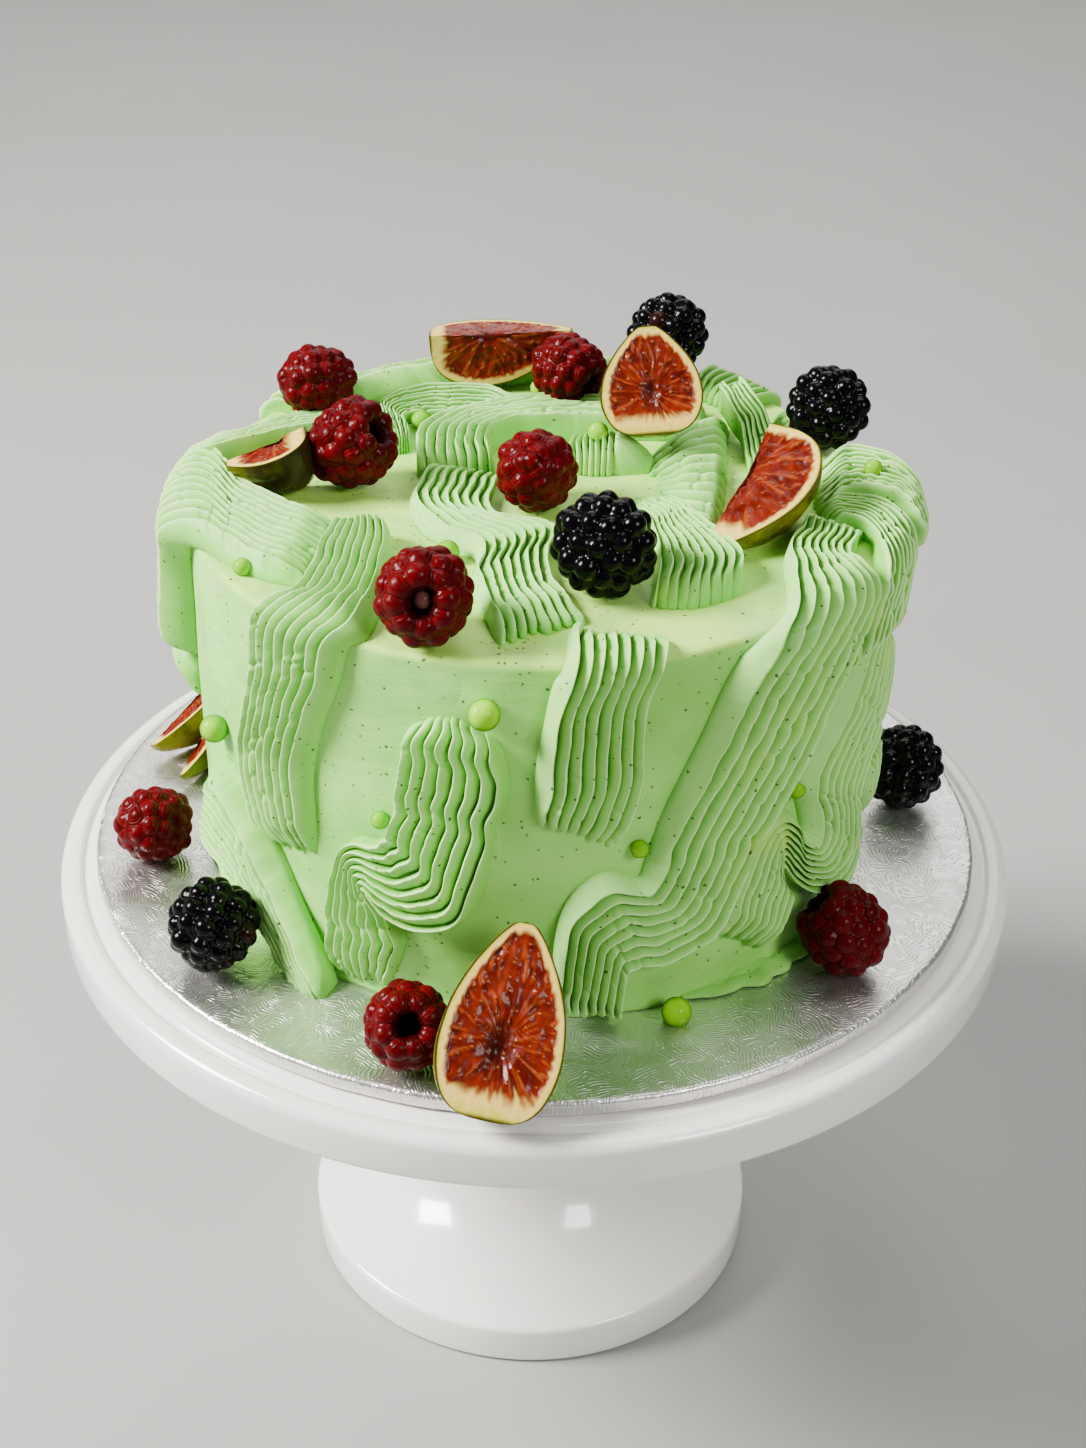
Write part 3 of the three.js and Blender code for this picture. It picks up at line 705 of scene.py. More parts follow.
def pipeSection(strip, slant, pleats):
    # Each row is (share across, share of thickness, share of groove depth, pleat, painted highlight, painted
    # shade)
    rows = [(0, 0, 0, -1, 0, 0), (-0.006, 0.12, 0, -1, 0, 0), (-0.004, 0.26, 0, -1, 0, 0)]
    # The smooth strip, with a painted highlight along its edge and painted shade where it drops into the
    # first groove
    slope = [(0.08, 0.4, 0), (0.22, 0.53, 0), (0.38, 0.65, 0), (0.56, 0.77, 0.1), (0.74, 0.88, 0.2)]
    rows += [(strip * share, high, 0, -1, paintedHighlight, 0) for share, high, paintedHighlight in slope]
    rows += [(strip * 0.88, 0.96, -0.02, -1, 0.4, 0), (strip * 0.97, 1.0, -0.05, -1, 0.9, 0)]
    rows += [(strip, 1.0, 0.08, -1, 0.8, 0), (strip + 0.004, 1.0, 0.35, -1, 0.2, 0.5)]
    rows += [(strip + 0.002, 1.0, 0.75, -1, 0, 1)]
    pitch = (1 - strip) / pleats
    for pleat in range(pleats):
        start = strip + pitch * pleat
        for share, drop in pleatCurve:
            # Painted highlight on each lip and lighter up the slope to it, painted shade from the groove up
            # the pleat
            paintedHighlight = 1 if share > 0.9 else max(0, 0.6 * (share - 0.35))
            rows.append((start + pitch * share, 1.0, drop, pleat, paintedHighlight, max(0, 1 - share / 0.85)))
        if pleat < pleats - 1:
            for share, drop in lipCurve:
                rows.append((start + pitch * share, 1.0, drop, pleat, 0.8 if drop < 0.1 else 0, drop))
    # The far edge, with a painted highlight along its top
    edge = [(1.004, 0.93, 0.6), (1.006, 0.8, 0.1), (0.999, 0.62, 0), (0.99, 0.42, 0)]
    edge += [(0.986, 0.2, 0), (0.986, 0, 0)]
    rows += [(share, high, 0, 99, paintedHighlight, 0) for share, high, paintedHighlight in edge]
    table = np.array(rows, dtype=float)
    table[:, 1] *= 1 - slant * np.clip(table[:, 0], 0, 1) ** 1.2
    return table


def stepLengths(points):
    return np.linalg.norm(np.diff(points, axis=0), axis=1)


def summed(steps):
    return np.concatenate([[0], np.cumsum(steps)])


def curveThrough(points, samples):
    # A centripetal Catmull-Rom curve through every point
    points = np.array(points, dtype=float)
    first = 2 * points[0] - points[1]
    last = 2 * points[-1] - points[-2]
    run = np.vstack([first, points, last])
    out = []
    for i in range(1, len(run) - 2):
        p0, p1, p2, p3 = run[i - 1 : i + 3]
        gaps = [max(np.sum((b - a) ** 2) ** 0.25, 1e-4) for a, b in ((p0, p1), (p1, p2), (p2, p3))]
        g0, g1, g2 = gaps
        slopeStart = ((p1 - p0) / g0 - (p2 - p0) / (g0 + g1) + (p2 - p1) / g1) * g1
        slopeEnd = ((p2 - p1) / g1 - (p3 - p1) / (g1 + g2) + (p3 - p2) / g2) * g1
        for t in np.arange(samples) / samples:
            square = (2 * t**3 - 3 * t**2 + 1) * p1 + (t**3 - 2 * t**2 + t) * slopeStart
            out.append(square + (-2 * t**3 + 3 * t**2) * p2 + (t**3 - t**2) * slopeEnd)
    out.append(points[-1])
    return np.array(out)


def eased(values, amount):
    # Rounds sharp turns off a run of points without moving its ends
    weights = np.exp(-0.5 * (np.arange(-2 * amount, 2 * amount + 1) / amount) ** 2)
    weights /= weights.sum()
    before = 2 * values[:1] - values[2 * amount : 0 : -1]
    after = 2 * values[-1:] - values[-2 : -2 * amount - 2 : -1]
    padded = np.concatenate([before, values, after])
    return np.stack([np.convolve(column, weights, mode="valid") for column in padded.T], axis=-1)


def roughLine(way, dice, step, size):
    # Smooth random values along a way
    count = int(np.max(way) / step) + 4
    knots = np.clip(dice.normal(0, size, count + 2), -2 * size, 2 * size)
    at = np.clip(way / step, 0, count - 1)
    index = at.astype(int)
    share = smooth(at - index)
    return knots[index] * (1 - share) + knots[index + 1] * share


def endReach(rows, strip, pleats, kind, dice):
    # How far short of the full length each share across stops, in mm
    look = endKinds[kind]
    pitch = (1 - strip) / pleats
    stops = dice.uniform(0, look["uneven"], pleats + 1)
    short = np.zeros(len(rows))
    for j, (share, _, _, pleat, _, _) in enumerate(rows):
        if pleat < 0:
            across = np.clip(share / strip, 0, 1)
            short[j] = stops[-1] + look["scallop"] * abs(2 * across - 1) ** 3
        else:
            index = int(min(pleat, pleats - 1))
            across = np.clip((share - strip - pitch * index) / pitch, 0, 1)
            short[j] = stops[index] + look["scallop"] * abs(2 * across - 1.15) ** 3
        short[j] += look["dome"] * (2 * np.clip(share, 0, 1) - 1) ** 2
    return short - np.min(short)


def ringWays(outer, way):
    # The ways of the rings along a ribbon, which are closer together at its ends
    length = way[-1]
    even = np.interp(np.linspace(0, outer[-1], int(outer[-1] / pipe["spacing"]) + 1), outer, way)
    crowded = np.array(pipe["endRings"])
    crowded = crowded[crowded < length / 3]
    even = np.unique(np.concatenate([even[(even == 0) | (even > pipe["endZone"])], crowded]))
    return np.unique(np.concatenate([even[even < length - pipe["endZone"]], length - crowded, [length]]))


def pleatSway(along, rows, wave, pleats, dice):
    # How far the pleats wander sideways, in mm
    size, period = wave
    share = rows[None, :, 0]
    phase = dice.uniform(0, 6.28)
    lag = share * 2.0
    sway = size * np.sin(along * 2 * math.pi / period + phase + lag)
    sway += size * 0.5 * np.sin(along * 2 * math.pi / (period * 0.57) + phase * 2 + lag * 1.4)
    sway += roughLine(along + share * 3, dice, period * 0.45, 0.28)
    for pleat in range(pleats):
        mine = rows[:, 3] == pleat
        run = along[:, mine]
        sway[:, mine] += roughLine(run, dice, 7.0, 0.11) + roughLine(run, dice, 2.2, 0.05)
    inside = smooth(share * 9) * smooth((1 - share) * 14 + 0.6)
    return sway * inside


def pleatLips(along, length, rows, ruffle, pleats, dice):
    # How unevenly each lip stands, in mm: a rough line, on some a ruffle, and a few nicks
    lip = np.zeros_like(along)
    for pleat in range(-1, pleats):
        mine = rows[:, 3] == pleat
        run = along[:, mine]
        jag = roughLine(run, dice, 5.0, 0.16) + roughLine(run, dice, 1.3, 0.07)
        if ruffle and pleat >= pleats - pipe["ruffled"]:
            jag = jag + ruffle * (np.abs(np.sin(run * math.pi / pipe["rufflePitch"] + pleat * 0.7)) - 0.6)
        if pleat >= 0:
            for _ in range(int(length / pipe["nickEvery"]) + 1):
                nick = dice.uniform(0, length)
                jag = jag - dice.uniform(0.3, 0.9) * np.exp(-(((run - nick) / dice.uniform(0.4, 0.9)) ** 2))
        onLip = np.clip(1 - 1.3 * np.abs(rows[None, mine, 2]), 0, 1)
        lip[:, mine] = jag * onLip * np.sign(rows[None, mine, 1])
    return lip


def ribbonFaces(rings, columns):
    # Faces between the rings, a cap at each end, and the faces that close the underside
    index = np.arange(rings * columns).reshape(rings, columns)
    corners = [index[:-1, :-1], index[:-1, 1:], index[1:, 1:], index[1:, :-1]]
    faces = np.stack(corners, axis=-1).reshape(-1, 4).tolist()
    inset = 7 if rings > 24 else 2
    firstCap = [*index[0, :], *index[1 : inset + 1, -1], *index[inset:0:-1, 0]]
    lastCap = [*index[-1, ::-1], *index[-2 : -inset - 2 : -1, 0], *index[-inset - 1 : -1, -1]]
    faces.append([int(i) for i in firstCap])
    faces.append([int(i) for i in lastCap])
    for i in range(inset, rings - 1 - inset):
        faces.append([int(index[i, 0]), int(index[i + 1, 0]), int(index[i + 1, -1]), int(index[i, -1])])
    return faces


def makeRibbon(
    name, stations, thick, strip, wave, ends=("blunt", "scallop"), slant=0.4,
    stripShare=pipe["strip"], ruffle=0.0, pleats=pipe["pleats"], fade=0.9,
):
    dice = np.random.default_rng(sum(ord(letter) * (i + 1) for i, letter in enumerate(name)))
    rows = pipeSection(stripShare, slant, pleats)
    share, high, drop, pleat, paintedHighlight, shade = rows.T[:, None, :]
    rails = []
    for rail in (0, 1):
        run = [(*one[rail], one[2] if len(one) > 2 else 0) for one in stations]
        rails.append(eased(curveThrough(run, pipe["samples"]), pipe["easing"]))
    left, right = reversed(rails) if strip == "right" else rails
    leftAt = lifted(left[:, :2], sheetMiddle)
    rightAt = lifted(right[:, :2], sheetMiddle)
    outer = summed(np.maximum(stepLengths(leftAt), stepLengths(rightAt)))
    way = summed(np.maximum(stepLengths((leftAt + rightAt) / 2), 0.02))
    length = way[-1]
    width = np.linalg.norm(rightAt - leftAt, axis=1)
    rings = ringWays(outer, way)[:, None]
    startShort = endReach(rows, stripShare, pleats, ends[0], dice)[None, :]
    endShort = endReach(rows, stripShare, pleats, ends[1], dice)[None, :]
    along = startShort * (1 - rings / length) ** 4 + rings - endShort * (rings / length) ** 4

    def at(values):
        return np.interp(along, way, values)

    def acrossRails(k):
        return at(left[:, k]) + (at(right[:, k]) - at(left[:, k])) * across

    shift = pleatSway(along, rows, wave, pleats, dice) / np.maximum(at(width), 1)
    across = share + shift * smooth(along / 4) * smooth((length - along) / 4)
    flat = np.stack([acrossRails(0), acrossRails(1)], axis=-1)
    rise = np.maximum(0, acrossRails(2))

    thickness = np.interp(along / length, [0, 0.5, 1], thick if isinstance(thick, tuple) else (thick,) * 3)
    fromStart = np.maximum(0, along - startShort)
    toEnd = np.maximum(0, length - endShort - along)
    groove = 1
    tip = 1
    for away, kind in ((fromStart, endKinds[ends[0]]), (toEnd, endKinds[ends[1]])):
        thickness = thickness * (kind["thin"] + (1 - kind["thin"]) * smooth(away / kind["taper"]))
        groove = groove * smooth(away / kind["plain"] + 0.1)
        tip = tip * np.sqrt(1 - (1 - np.clip(away / kind["round"], 0, 1)) ** 2)
    narrow = np.clip(at(width) / pleats / 2.6, 0.5, 1.15)
    body = high * (thickness + roughLine(along, dice, 9.0, 0.2))
    depth = np.minimum(pipe["depth"] * narrow, body * 0.62)
    height = body - depth * drop * groove + pleatLips(along, length, rows, ruffle, pleats, dice) * groove
    lift = np.where(high == 0, 0, np.maximum(height, pipe["thinnest"])) * tip + pipe["under"]
    points = lifted(flat, lift + rise * np.where(high == 0, 0.45, 1))

    mesh = bpy.data.meshes.new(name + "_piping")
    mesh.from_pydata((points.reshape(-1, 3) * mm).tolist(), [], ribbonFaces(*along.shape))
    # Painted highlight on the lips and up each pleat; the strips on the left side are painted lighter all
    # over
    shine = np.broadcast_to(paintedHighlight, along.shape) * groove
    if strip == "left":
        shine = np.where(pleat < 0, np.maximum(shine, 0.4), shine)
    floatAttribute(mesh, "paintedHighlight", np.clip(shine, 0, 1).ravel())
    # Painted shade in the grooves, fading up each pleat
    floatAttribute(mesh, "groove", (np.clip(shade, 0, 1) ** fade * groove).ravel())
    mesh.validate()
    piece = addObject(name + "_piping", mesh)
    mendMesh()
    bpy.ops.object.shade_smooth()
    finishPiece(piece, ribbonIcing, "icing", name)


ribbons = [
    {
        "name": "ribbon_left_front_drop", "thick": (7, 6, 5), "strip": "right", "wave": (0.2, 19),
        "ends": ("blunt", "scallop"), "slant": 0.2,
        "stations": [
            [top(-51, -29), top(-39, -28), 3], [top(-54, -42), top(-36, -46), 2],
            [top(-56, -55), top(-37, -60), 1], [top(-59, -66), top(-38, -70)],
            [side(-134, 261), side(-116, 262)], [side(-135, 255), side(-118, 259)],
            [side(-137, 235), side(-120, 246)], [side(-140, 219), side(-124, 230)],
            [side(-141, 204), side(-126, 215)], [side(-139, 195), side(-126, 205)],
            [side(-135, 188), side(-126, 192)],
        ],
    },
    {
        "name": "ribbon_left_over_rim", "thick": (5, 8, 10.5), "strip": "right", "wave": (0.25, 26),
        "slant": 0.15,
        "ends": ("scallop", "blunt"), "stripShare": 0.12, "pleats": 10,
        "stations": [
            [top(-52, -23), top(-57, -57)], [top(-65, -17), top(-68, -53)], [top(-79, -5), top(-78, -45)],
            [side(170, 262), side(-154, 262)], [side(174, 252), side(-164, 252)],
            [side(175, 234), side(-167, 234)], [side(176, 216), side(-168, 216)],
        ],
    },
    {
        "name": "ribbon_left_back_drop", "thick": 7.5, "strip": "right", "wave": (0.3, 22),
        "stations": [
            [top(-53, 47), top(-53, 33)], [top(-67, 45), top(-65, 26)], [top(-77, 35), top(-75, 20)],
            [side(163, 262), side(175, 262)], [side(161, 252), side(176, 254)],
            [side(157, 234), side(174, 236)], [side(160, 220), side(178, 224)],
            [side(172, 208), side(-169, 213)], [side(176, 202), side(-169, 203)],
        ],
    },
    {
        "name": "ribbon_front_drop", "thick": (5.5, 6.5, 5.5), "strip": "left", "wave": (0.22, 24),
        "ends": ("torn", "scallop"), "stripShare": 0.13, "fade": 2.6,
        "stations": [
            [top(8, -74), top(29, -78)], [top(7, -83), top(31, -84)], [side(-86, 261), side(-72, 260)],
            [side(-88, 252), side(-74, 250)],
            [side(-89, 242), side(-75, 239)], [side(-90, 230), side(-75, 227)],
            [side(-90, 223), side(-76, 216)], [side(-90, 214), side(-79, 206)],
        ],
    },
    {
        "name": "ribbon_front_hook", "thick": (6, 6, 4.5), "strip": "right", "wave": (0.5, 15),
        "slant": 0.2,
        "ends": ("tucked", "torn"), "stripShare": 0.1, "fade": 2.4,
        "stations": [
            [side(-107, 244), side(-98, 242)], [side(-109, 236), side(-95, 236)],
            [side(-110, 224), side(-94, 224)], [side(-111, 214), side(-96, 212)],
            [side(-111.5, 209), side(-97, 199), 0.5], [side(-112, 207.5), side(-100, 186), 1.5],
            [side(-112.7, 206.5), side(-106, 181), 2], [side(-113.8, 206), side(-111.5, 184.5), 2],
            [side(-116.5, 204.5), side(-113.7, 188.5), 1.5], [side(-119.5, 200), side(-114.3, 189), 1],
            [side(-121.5, 192), side(-113.8, 187.5), 0.5], [side(-122.7, 183), side(-111.7, 183.5)],
            [side(-123.5, 171), side(-110, 177)], [side(-123, 162), side(-111, 168)],
            [side(-122, 157), side(-114, 156.5)],
        ],
    },
    {
        "name": "ribbon_left_tail", "thick": (6.5, 6.5, 4.5), "strip": "right", "wave": (0.25, 13),
        "slant": 0.1,
        "ends": ("torn", "blunt"), "stripShare": 0.28,
        "stations": [
            [side(-163, 166), side(-154, 202)], [side(-154, 171), side(-143, 203)],
            [side(-148, 170), side(-137, 195)], [side(-143, 168), side(-134, 187)],
            [side(-137.5, 163), side(-130, 176), 1], [side(-132, 158), side(-126, 167), 3],
            [side(-127, 154), side(-122.5, 159), 6], [side(-124, 152), side(-121, 154), 9],
        ],
    },
    {
        "name": "ribbon_swirl", "thick": 6, "strip": "left", "wave": (0.3, 19),
        "ends": ("scallop", "torn"),
        "stripShare": 0.1, "fade": 1.6,
        "stations": [
            [top(-27, 13), top(-10, 10)], [top(-33, 1), top(-13, -4)], [top(-34, -15), top(-12, -18)],
            [top(-27, -31), top(0, -22)], [top(-16, -40), top(4, -27)], [top(-16, -58), top(2, -43)],
            [top(-12, -74), top(5, -60)], [top(-9, -85), top(12, -73)],
        ],
    },
    {
        "name": "ribbon_small_left", "thick": 7, "strip": "left", "wave": (0.2, 14),
        "stations": [
            [top(-42, 22), top(-36, 24)], [top(-44, 33), top(-37, 33)],
            [top(-47, 47), top(-39, 44)], [top(-39, 59), top(-30, 46)],
            [top(-24, 63), top(-19, 46)], [top(-5, 59), top(-6, 46)],
        ],
    },
    {
        "name": "ribbon_folded_end", "thick": 9.5, "strip": "right", "wave": (0.1, 14),
        "ends": ("blunt", "blunt"),
        "stripShare": 0.45, "slant": 0.15,
        "stations": [[top(13, 27), top(30, 25)], [top(8, 18), top(31, 18)], [top(8, 10), top(29, 11)]],
    },
    {
        "name": "ribbon_across_back", "thick": (8.5, 8, 8), "strip": "right", "wave": (0.3, 24),
        "slant": 0.1,
        "stripShare": 0.1,
        "stations": [
            [top(-33, 7), top(-12, 9)], [top(-34, 27), top(-13, 26)], [top(-22, 43), top(-6, 33)],
            [top(17, 55), top(18, 34)], [top(48, 54), top(48, 35)],
        ],
    },
    {
        "name": "ribbon_spike", "thick": (6.5, 5.5, 4), "strip": "left", "wave": (0.15, 12),
        "ends": ("blunt", "torn"), "stripShare": 0.2, "pleats": 5,
        "stations": [
            [top(66, 14), top(57, 13)], [top(66, 22), top(56.5, 20)], [top(65, 32), top(56, 29), 4],
            [top(61, 42), top(52.5, 38), 10], [top(57, 49), top(49.5, 45), 14],
        ],
    },
    {
        "name": "ribbon_behind_spike", "thick": 7, "strip": "right", "wave": (0.2, 12),
        "ends": ("blunt", "blunt"),
        "stations": [[top(66, 50), top(65, 32)], [top(77, 49), top(76, 33)]],
    },
    {
        "name": "ribbon_middle_fan", "thick": (4.5, 6, 6), "strip": "right", "wave": (0.15, 14),
        "pleats": 10,
        "ends": ("torn", "blunt"), "stripShare": 0.06, "slant": 0.1,
        "stations": [
            [top(27, 17), top(31, -5)], [top(35, 28), top(34, -16)], [top(44, 38), top(40, -26)],
            [top(55, 44), top(47, -27)],
        ],
    },
    {
        "name": "ribbon_right_front_top", "thick": (5.5, 6.5, 8), "strip": "left", "wave": (0.18, 16),
        "ends": ("torn", "bulge"), "stripShare": 0.07, "slant": 0.1, "pleats": 8,
        "stations": [
            [top(19, -9), top(29, -2)], [top(26, -23), top(37, -14)], [top(29, -37), top(44, -29)],
            [top(28.5, -50), top(50, -44)], [top(27, -64), top(50, -57)], [top(26.5, -68), top(49, -62)],
        ],
    },
    {
        "name": "ribbon_right_over_rim", "thick": (8, 8, 7), "strip": "left", "wave": (0.2, 18),
        "slant": 0.1,
        "stripShare": 0.06,
        "stations": [
            [top(72, -13), top(74, -23)], [top(81, -13), top(80, -24)], [top(88, -14), top(84, -27)],
            [side(-12, 261), side(-25, 261)], [side(-14, 254), side(-31, 254)],
            [side(-17, 242), side(-33, 247)], [side(-17, 230), side(-34, 233)],
        ],
    },
    {
        "name": "ribbon_right_back_rim", "thick": (9, 11, 10), "strip": "left", "wave": (0.3, 14),
        "slant": 0.05,
        "ruffle": 0.6, "ends": ("scallop", "scallop"), "stripShare": 0.06, "pleats": 9,
        "stations": [
            [top(74, 11), top(72, -14)], [top(84, 14), top(83, -11)], [side(5, 262), side(-9, 262)],
            [side(0, 257), side(-11, 259)], [side(-4, 246), side(-11, 248)],
        ],
    },
    {
        "name": "ribbon_right_long", "thick": (7, 6.5, 6), "strip": "left", "wave": (0.25, 15),
        "slant": 0.15,
        "ends": ("scallop", "scallop"), "stripShare": 0.12,
        "stations": [
            [top(72, -16), top(84, -25)], [top(62, -38), top(78, -44)], [top(61, -56), side(-31, 260)],
            [side(-51, 262), side(-31, 254)], [side(-56, 259), side(-34, 247)],
            [side(-61, 250), side(-39, 239)], [side(-65, 235), side(-45, 224)],
            [side(-70, 218), side(-51, 210)], [side(-73, 203), side(-57, 194)],
            [side(-74, 197), side(-61, 178)], [side(-76, 198), side(-70, 171)],
            [side(-80, 200), side(-74, 172)], [side(-85, 192), side(-76, 170)],
            [side(-87, 179), side(-77, 164), 2], [side(-87, 159), side(-77, 157), 5],
        ],
    },
    {
        "name": "ribbon_right_wall_hook", "thick": 6, "strip": "left", "wave": (0.25, 17), "slant": 0.1,
        "stations": [
            [side(-34, 246), side(-18, 236)], [side(-38, 234), side(-17, 218)],
            [side(-43, 223), side(-22, 207)], [side(-47, 213), side(-29, 197)],
            [side(-45, 203), side(-28, 184)], [side(-44, 197), side(-27, 172)],
            [side(-44, 194), side(-34, 169)], [side(-46, 196), side(-42, 175)],
            [side(-47, 202), side(-47, 183)], [side(-51, 207), side(-50, 190)],
            [side(-55, 205), side(-49, 183)], [side(-59, 194), side(-47, 177)],
            [side(-61, 173), side(-52, 162)],
        ],
    },
    {
        "name": "ribbon_right_wall_scallop", "thick": 6.5, "strip": "left", "wave": (0.3, 12),
        "stations": [
            [side(-28, 204), side(-14, 200)], [side(-27, 193), side(-13, 190)],
            [side(-25, 180), side(-14, 180)],
        ],
    },
    {
        "name": "ribbon_back_rim", "thick": 9, "strip": "right", "wave": (0.4, 20), "stripShare": 0.45,
        "stations": [
            [top(-62, 62), top(-54, 55)], [top(-44, 78), top(-36, 66)], [top(-24, 86), top(-19, 72)],
            [top(4, 88), top(3, 76)], [top(30, 83), top(26, 71)],
        ],
    },
    {
        "name": "ribbon_back_left_drop", "thick": 8, "strip": "left", "wave": (0.3, 18),
        "stations": [
            [top(-60, 64), top(-68, 48)], [side(131, 262), side(146, 262)], [side(130, 252), side(146, 252)],
            [side(127, 232), side(142, 228)], [side(129, 212), side(142, 207)],
        ],
    },
    {
        "name": "ribbon_back_hook", "thick": 7, "strip": "left", "wave": (0.7, 15),
        "ends": ("tucked", "torn"),
        "stations": [
            [side(112, 250), side(97, 249)], [side(113, 228), side(97, 226)],
            [side(113, 204), side(99, 198)], [side(116, 194), side(107, 179)],
            [side(122, 192), side(121, 174)], [side(127, 186), side(131, 168)],
        ],
    },
    {
        "name": "ribbon_back_long", "thick": 7, "strip": "left", "wave": (0.3, 20),
        "stations": [
            [top(43, 68), top(56, 55)], [side(59, 262), side(43, 262)], [side(60, 250), side(44, 250)],
            [side(66, 226), side(51, 221)], [side(74, 204), side(59, 195)], [side(80, 190), side(68, 176)],
        ],
    },
    {
        "name": "ribbon_back_right_drop", "thick": 7, "strip": "left", "wave": (0.4, 18),
        "ends": ("tucked", "scallop"),
        "stations": [
            [side(33, 245), side(18, 245)], [side(32, 222), side(17, 220)], [side(36, 200), side(22, 193)],
            [side(43, 182), side(31, 172)],
        ],
    },
]


def makeRibbons():
    for one in ribbons:
        makeRibbon(**one)
    print("ribbons made:", len(ribbons))


# Sugar pearls: (x, y, radius) on the top, (degrees, height, radius) on the wall and (x, y, z, radius)
# on the board and the ribbons

pearls = {
    "places": [
        (-73.5, -49.5, 2.3), (-34, 42, 2.9), (-23, -41, 3.1), (-1, 68, 2.3),
    ],
    "onWall": [
        (-97.3, 246.5, 3.9), (-150.2, 212, 3.7), (-113.4, 211, 2.3), (-74.5, 206.5, 2.3),
        (-46.5, 209.5, 2.3), (-35.5, 240, 2.3),
    ],
    "onOthers": [(36.6, -95, 158.0, 3.9), (15.7, 20.5, 267.0, 2.9), (88, -4, 268.4, 2.5)],
    "pressed": 0.75,
    "uneven": 0.02,
    "colour": (0.27, 0.61, 0.0),
    "deep": (0.16, 0.45, 0.0),
    # Colour of the painted shade towards the pearls' edges
    "rim": (0.035, 0.20, 0.0),
}


def makePearlMaterial():
    material, nodes, shader = newMaterial("sugarPearl")
    place = nodes.objectPlace()
    facing = nodes.add("ShaderNodeLayerWeight", Blend=0.42).outputs["Facing"]
    tone = nodes.tone(place, 130.0, pearls["colour"], pearls["deep"])
    nodes.fill(shader, {
        # Painted shade towards each pearl's edge, where it turns from view
        "Base Color": nodes.mix(nodes.span(facing, 0.2, 0.85), tone, pearls["rim"]),
        "Roughness": 0.35,
        "Specular IOR Level": 0.0,
        "Coat Weight": 0.2,
        "Coat Roughness": 0.05,
        "Normal": nodes.bump(nodes.noise(place, 700.0, 3.0), 0.06, 0.0003),
    })
    return material


def makePearls():
    spots = [(x, y, cake["top"] + radius * pearls["pressed"], radius) for x, y, radius in pearls["places"]]
    for degrees, height, radius in pearls["onWall"]:
        out = cakeRadius + radius * pearls["pressed"]
        angle = math.radians(degrees)
        spots.append((out * math.cos(angle), out * math.sin(angle), height, radius))
    spots += pearls["onOthers"]
    made = []
    for x, y, z, radius in spots:
        centre = Vector((x, y, z)) * mm
        bpy.ops.mesh.primitive_uv_sphere_add(segments=32, ring_count=20, radius=radius * mm, location=centre)
        piece = bpy.context.object
        bpy.ops.object.transform_apply(location=True, rotation=True, scale=True)
        for vertex in piece.data.vertices:
            way = vertex.co - centre
            dent = 1 + pearls["uneven"] * noise.noise(way / (radius * mm) * 1.3 + Vector((x, y, z)))
            vertex.co = centre + way * dent
        made.append(piece)
    bpy.ops.object.select_all(action="DESELECT")
    for piece in made:
        piece.select_set(True)
    bpy.context.view_layer.objects.active = made[0]
    bpy.ops.object.join()
    piece = bpy.context.object
    piece.name = "sugarPearls"
    bpy.ops.object.shade_smooth()
    finishPiece(piece, makePearlMaterial(), "icing")
    print("pearls made:", len(spots))


# Berries: round drupelets on a turned core, melted into one skin. The open end points up.

raspberry = {
    "core": [
        (0, -11), (4.9, -10.2), (8.8, -6.8), (10.3, -1.6), (10.4, 3), (9.2, 7.6), (7.4, 9.8), (5.0, 9.0),
        (4.2, 3), (2.8, -1), (0, -1.8),
    ],
    "drupelets": [
        (2.3, -8.7), (5.0, -7.4), (7.5, -4.6), (8.7, -1.1), (8.8, 2.6), (8.2, 5.7), (7.1, 7.7), (6.0, 8.3),
    ],
    "spacing": 5.0,
    "rowStep": 4.0,
    "size": 3.3,
    "voxel": 0.4,
    "hollowWide": 4.2,
    "hollowFloor": -2.2,
    "heartHeight": 6.4,
}
bramble = {
    "core": [(0, -11.4), (5, -10.6), (8.8, -7), (10.4, -1), (9.8, 4), (7.4, 8.6), (3.5, 10.6), (0, 11)],
    "drupelets": [(2.6, -10.2), (6.2, -8.5), (9.1, -4.5), (10.0, 0.4), (8.9, 5.1), (6.1, 8.5), (2.6, 10.2)],
    "spacing": 5.6,
    "rowStep": 4.7,
    "size": 3.25,
    "voxel": 0.44,
}


def drupeletSpots(look, dice):
    curve = curveThrough(look["drupelets"], 12)
    steps = summed(stepLengths(curve))
    rows = round(steps[-1] / look["rowStep"])
    spots = []
    for row in range(rows + 1):
        way = steps[-1] * row / rows
        radius = np.interp(way, steps, curve[:, 0])
        height = np.interp(way, steps, curve[:, 1])
        count = max(3, round(2 * math.pi * radius / look["spacing"]))
        turn = dice.uniform(0, 6)
        for i in range(count):
            place = i + 0.5 * (row % 2) + dice.uniform(-0.09, 0.09)
            angle = 2 * math.pi * place / count + turn * (row < 2)
            size = look["size"] * dice.uniform(0.88, 1.08)
            out = radius + dice.uniform(-0.35, 0.25)
            z = height + dice.uniform(-0.4, 0.4)
            spots.append((out * math.cos(angle), out * math.sin(angle), z, size))
    spots.append((0, 0, look["drupelets"][0][1] - 0.7, look["size"]))
    return spots


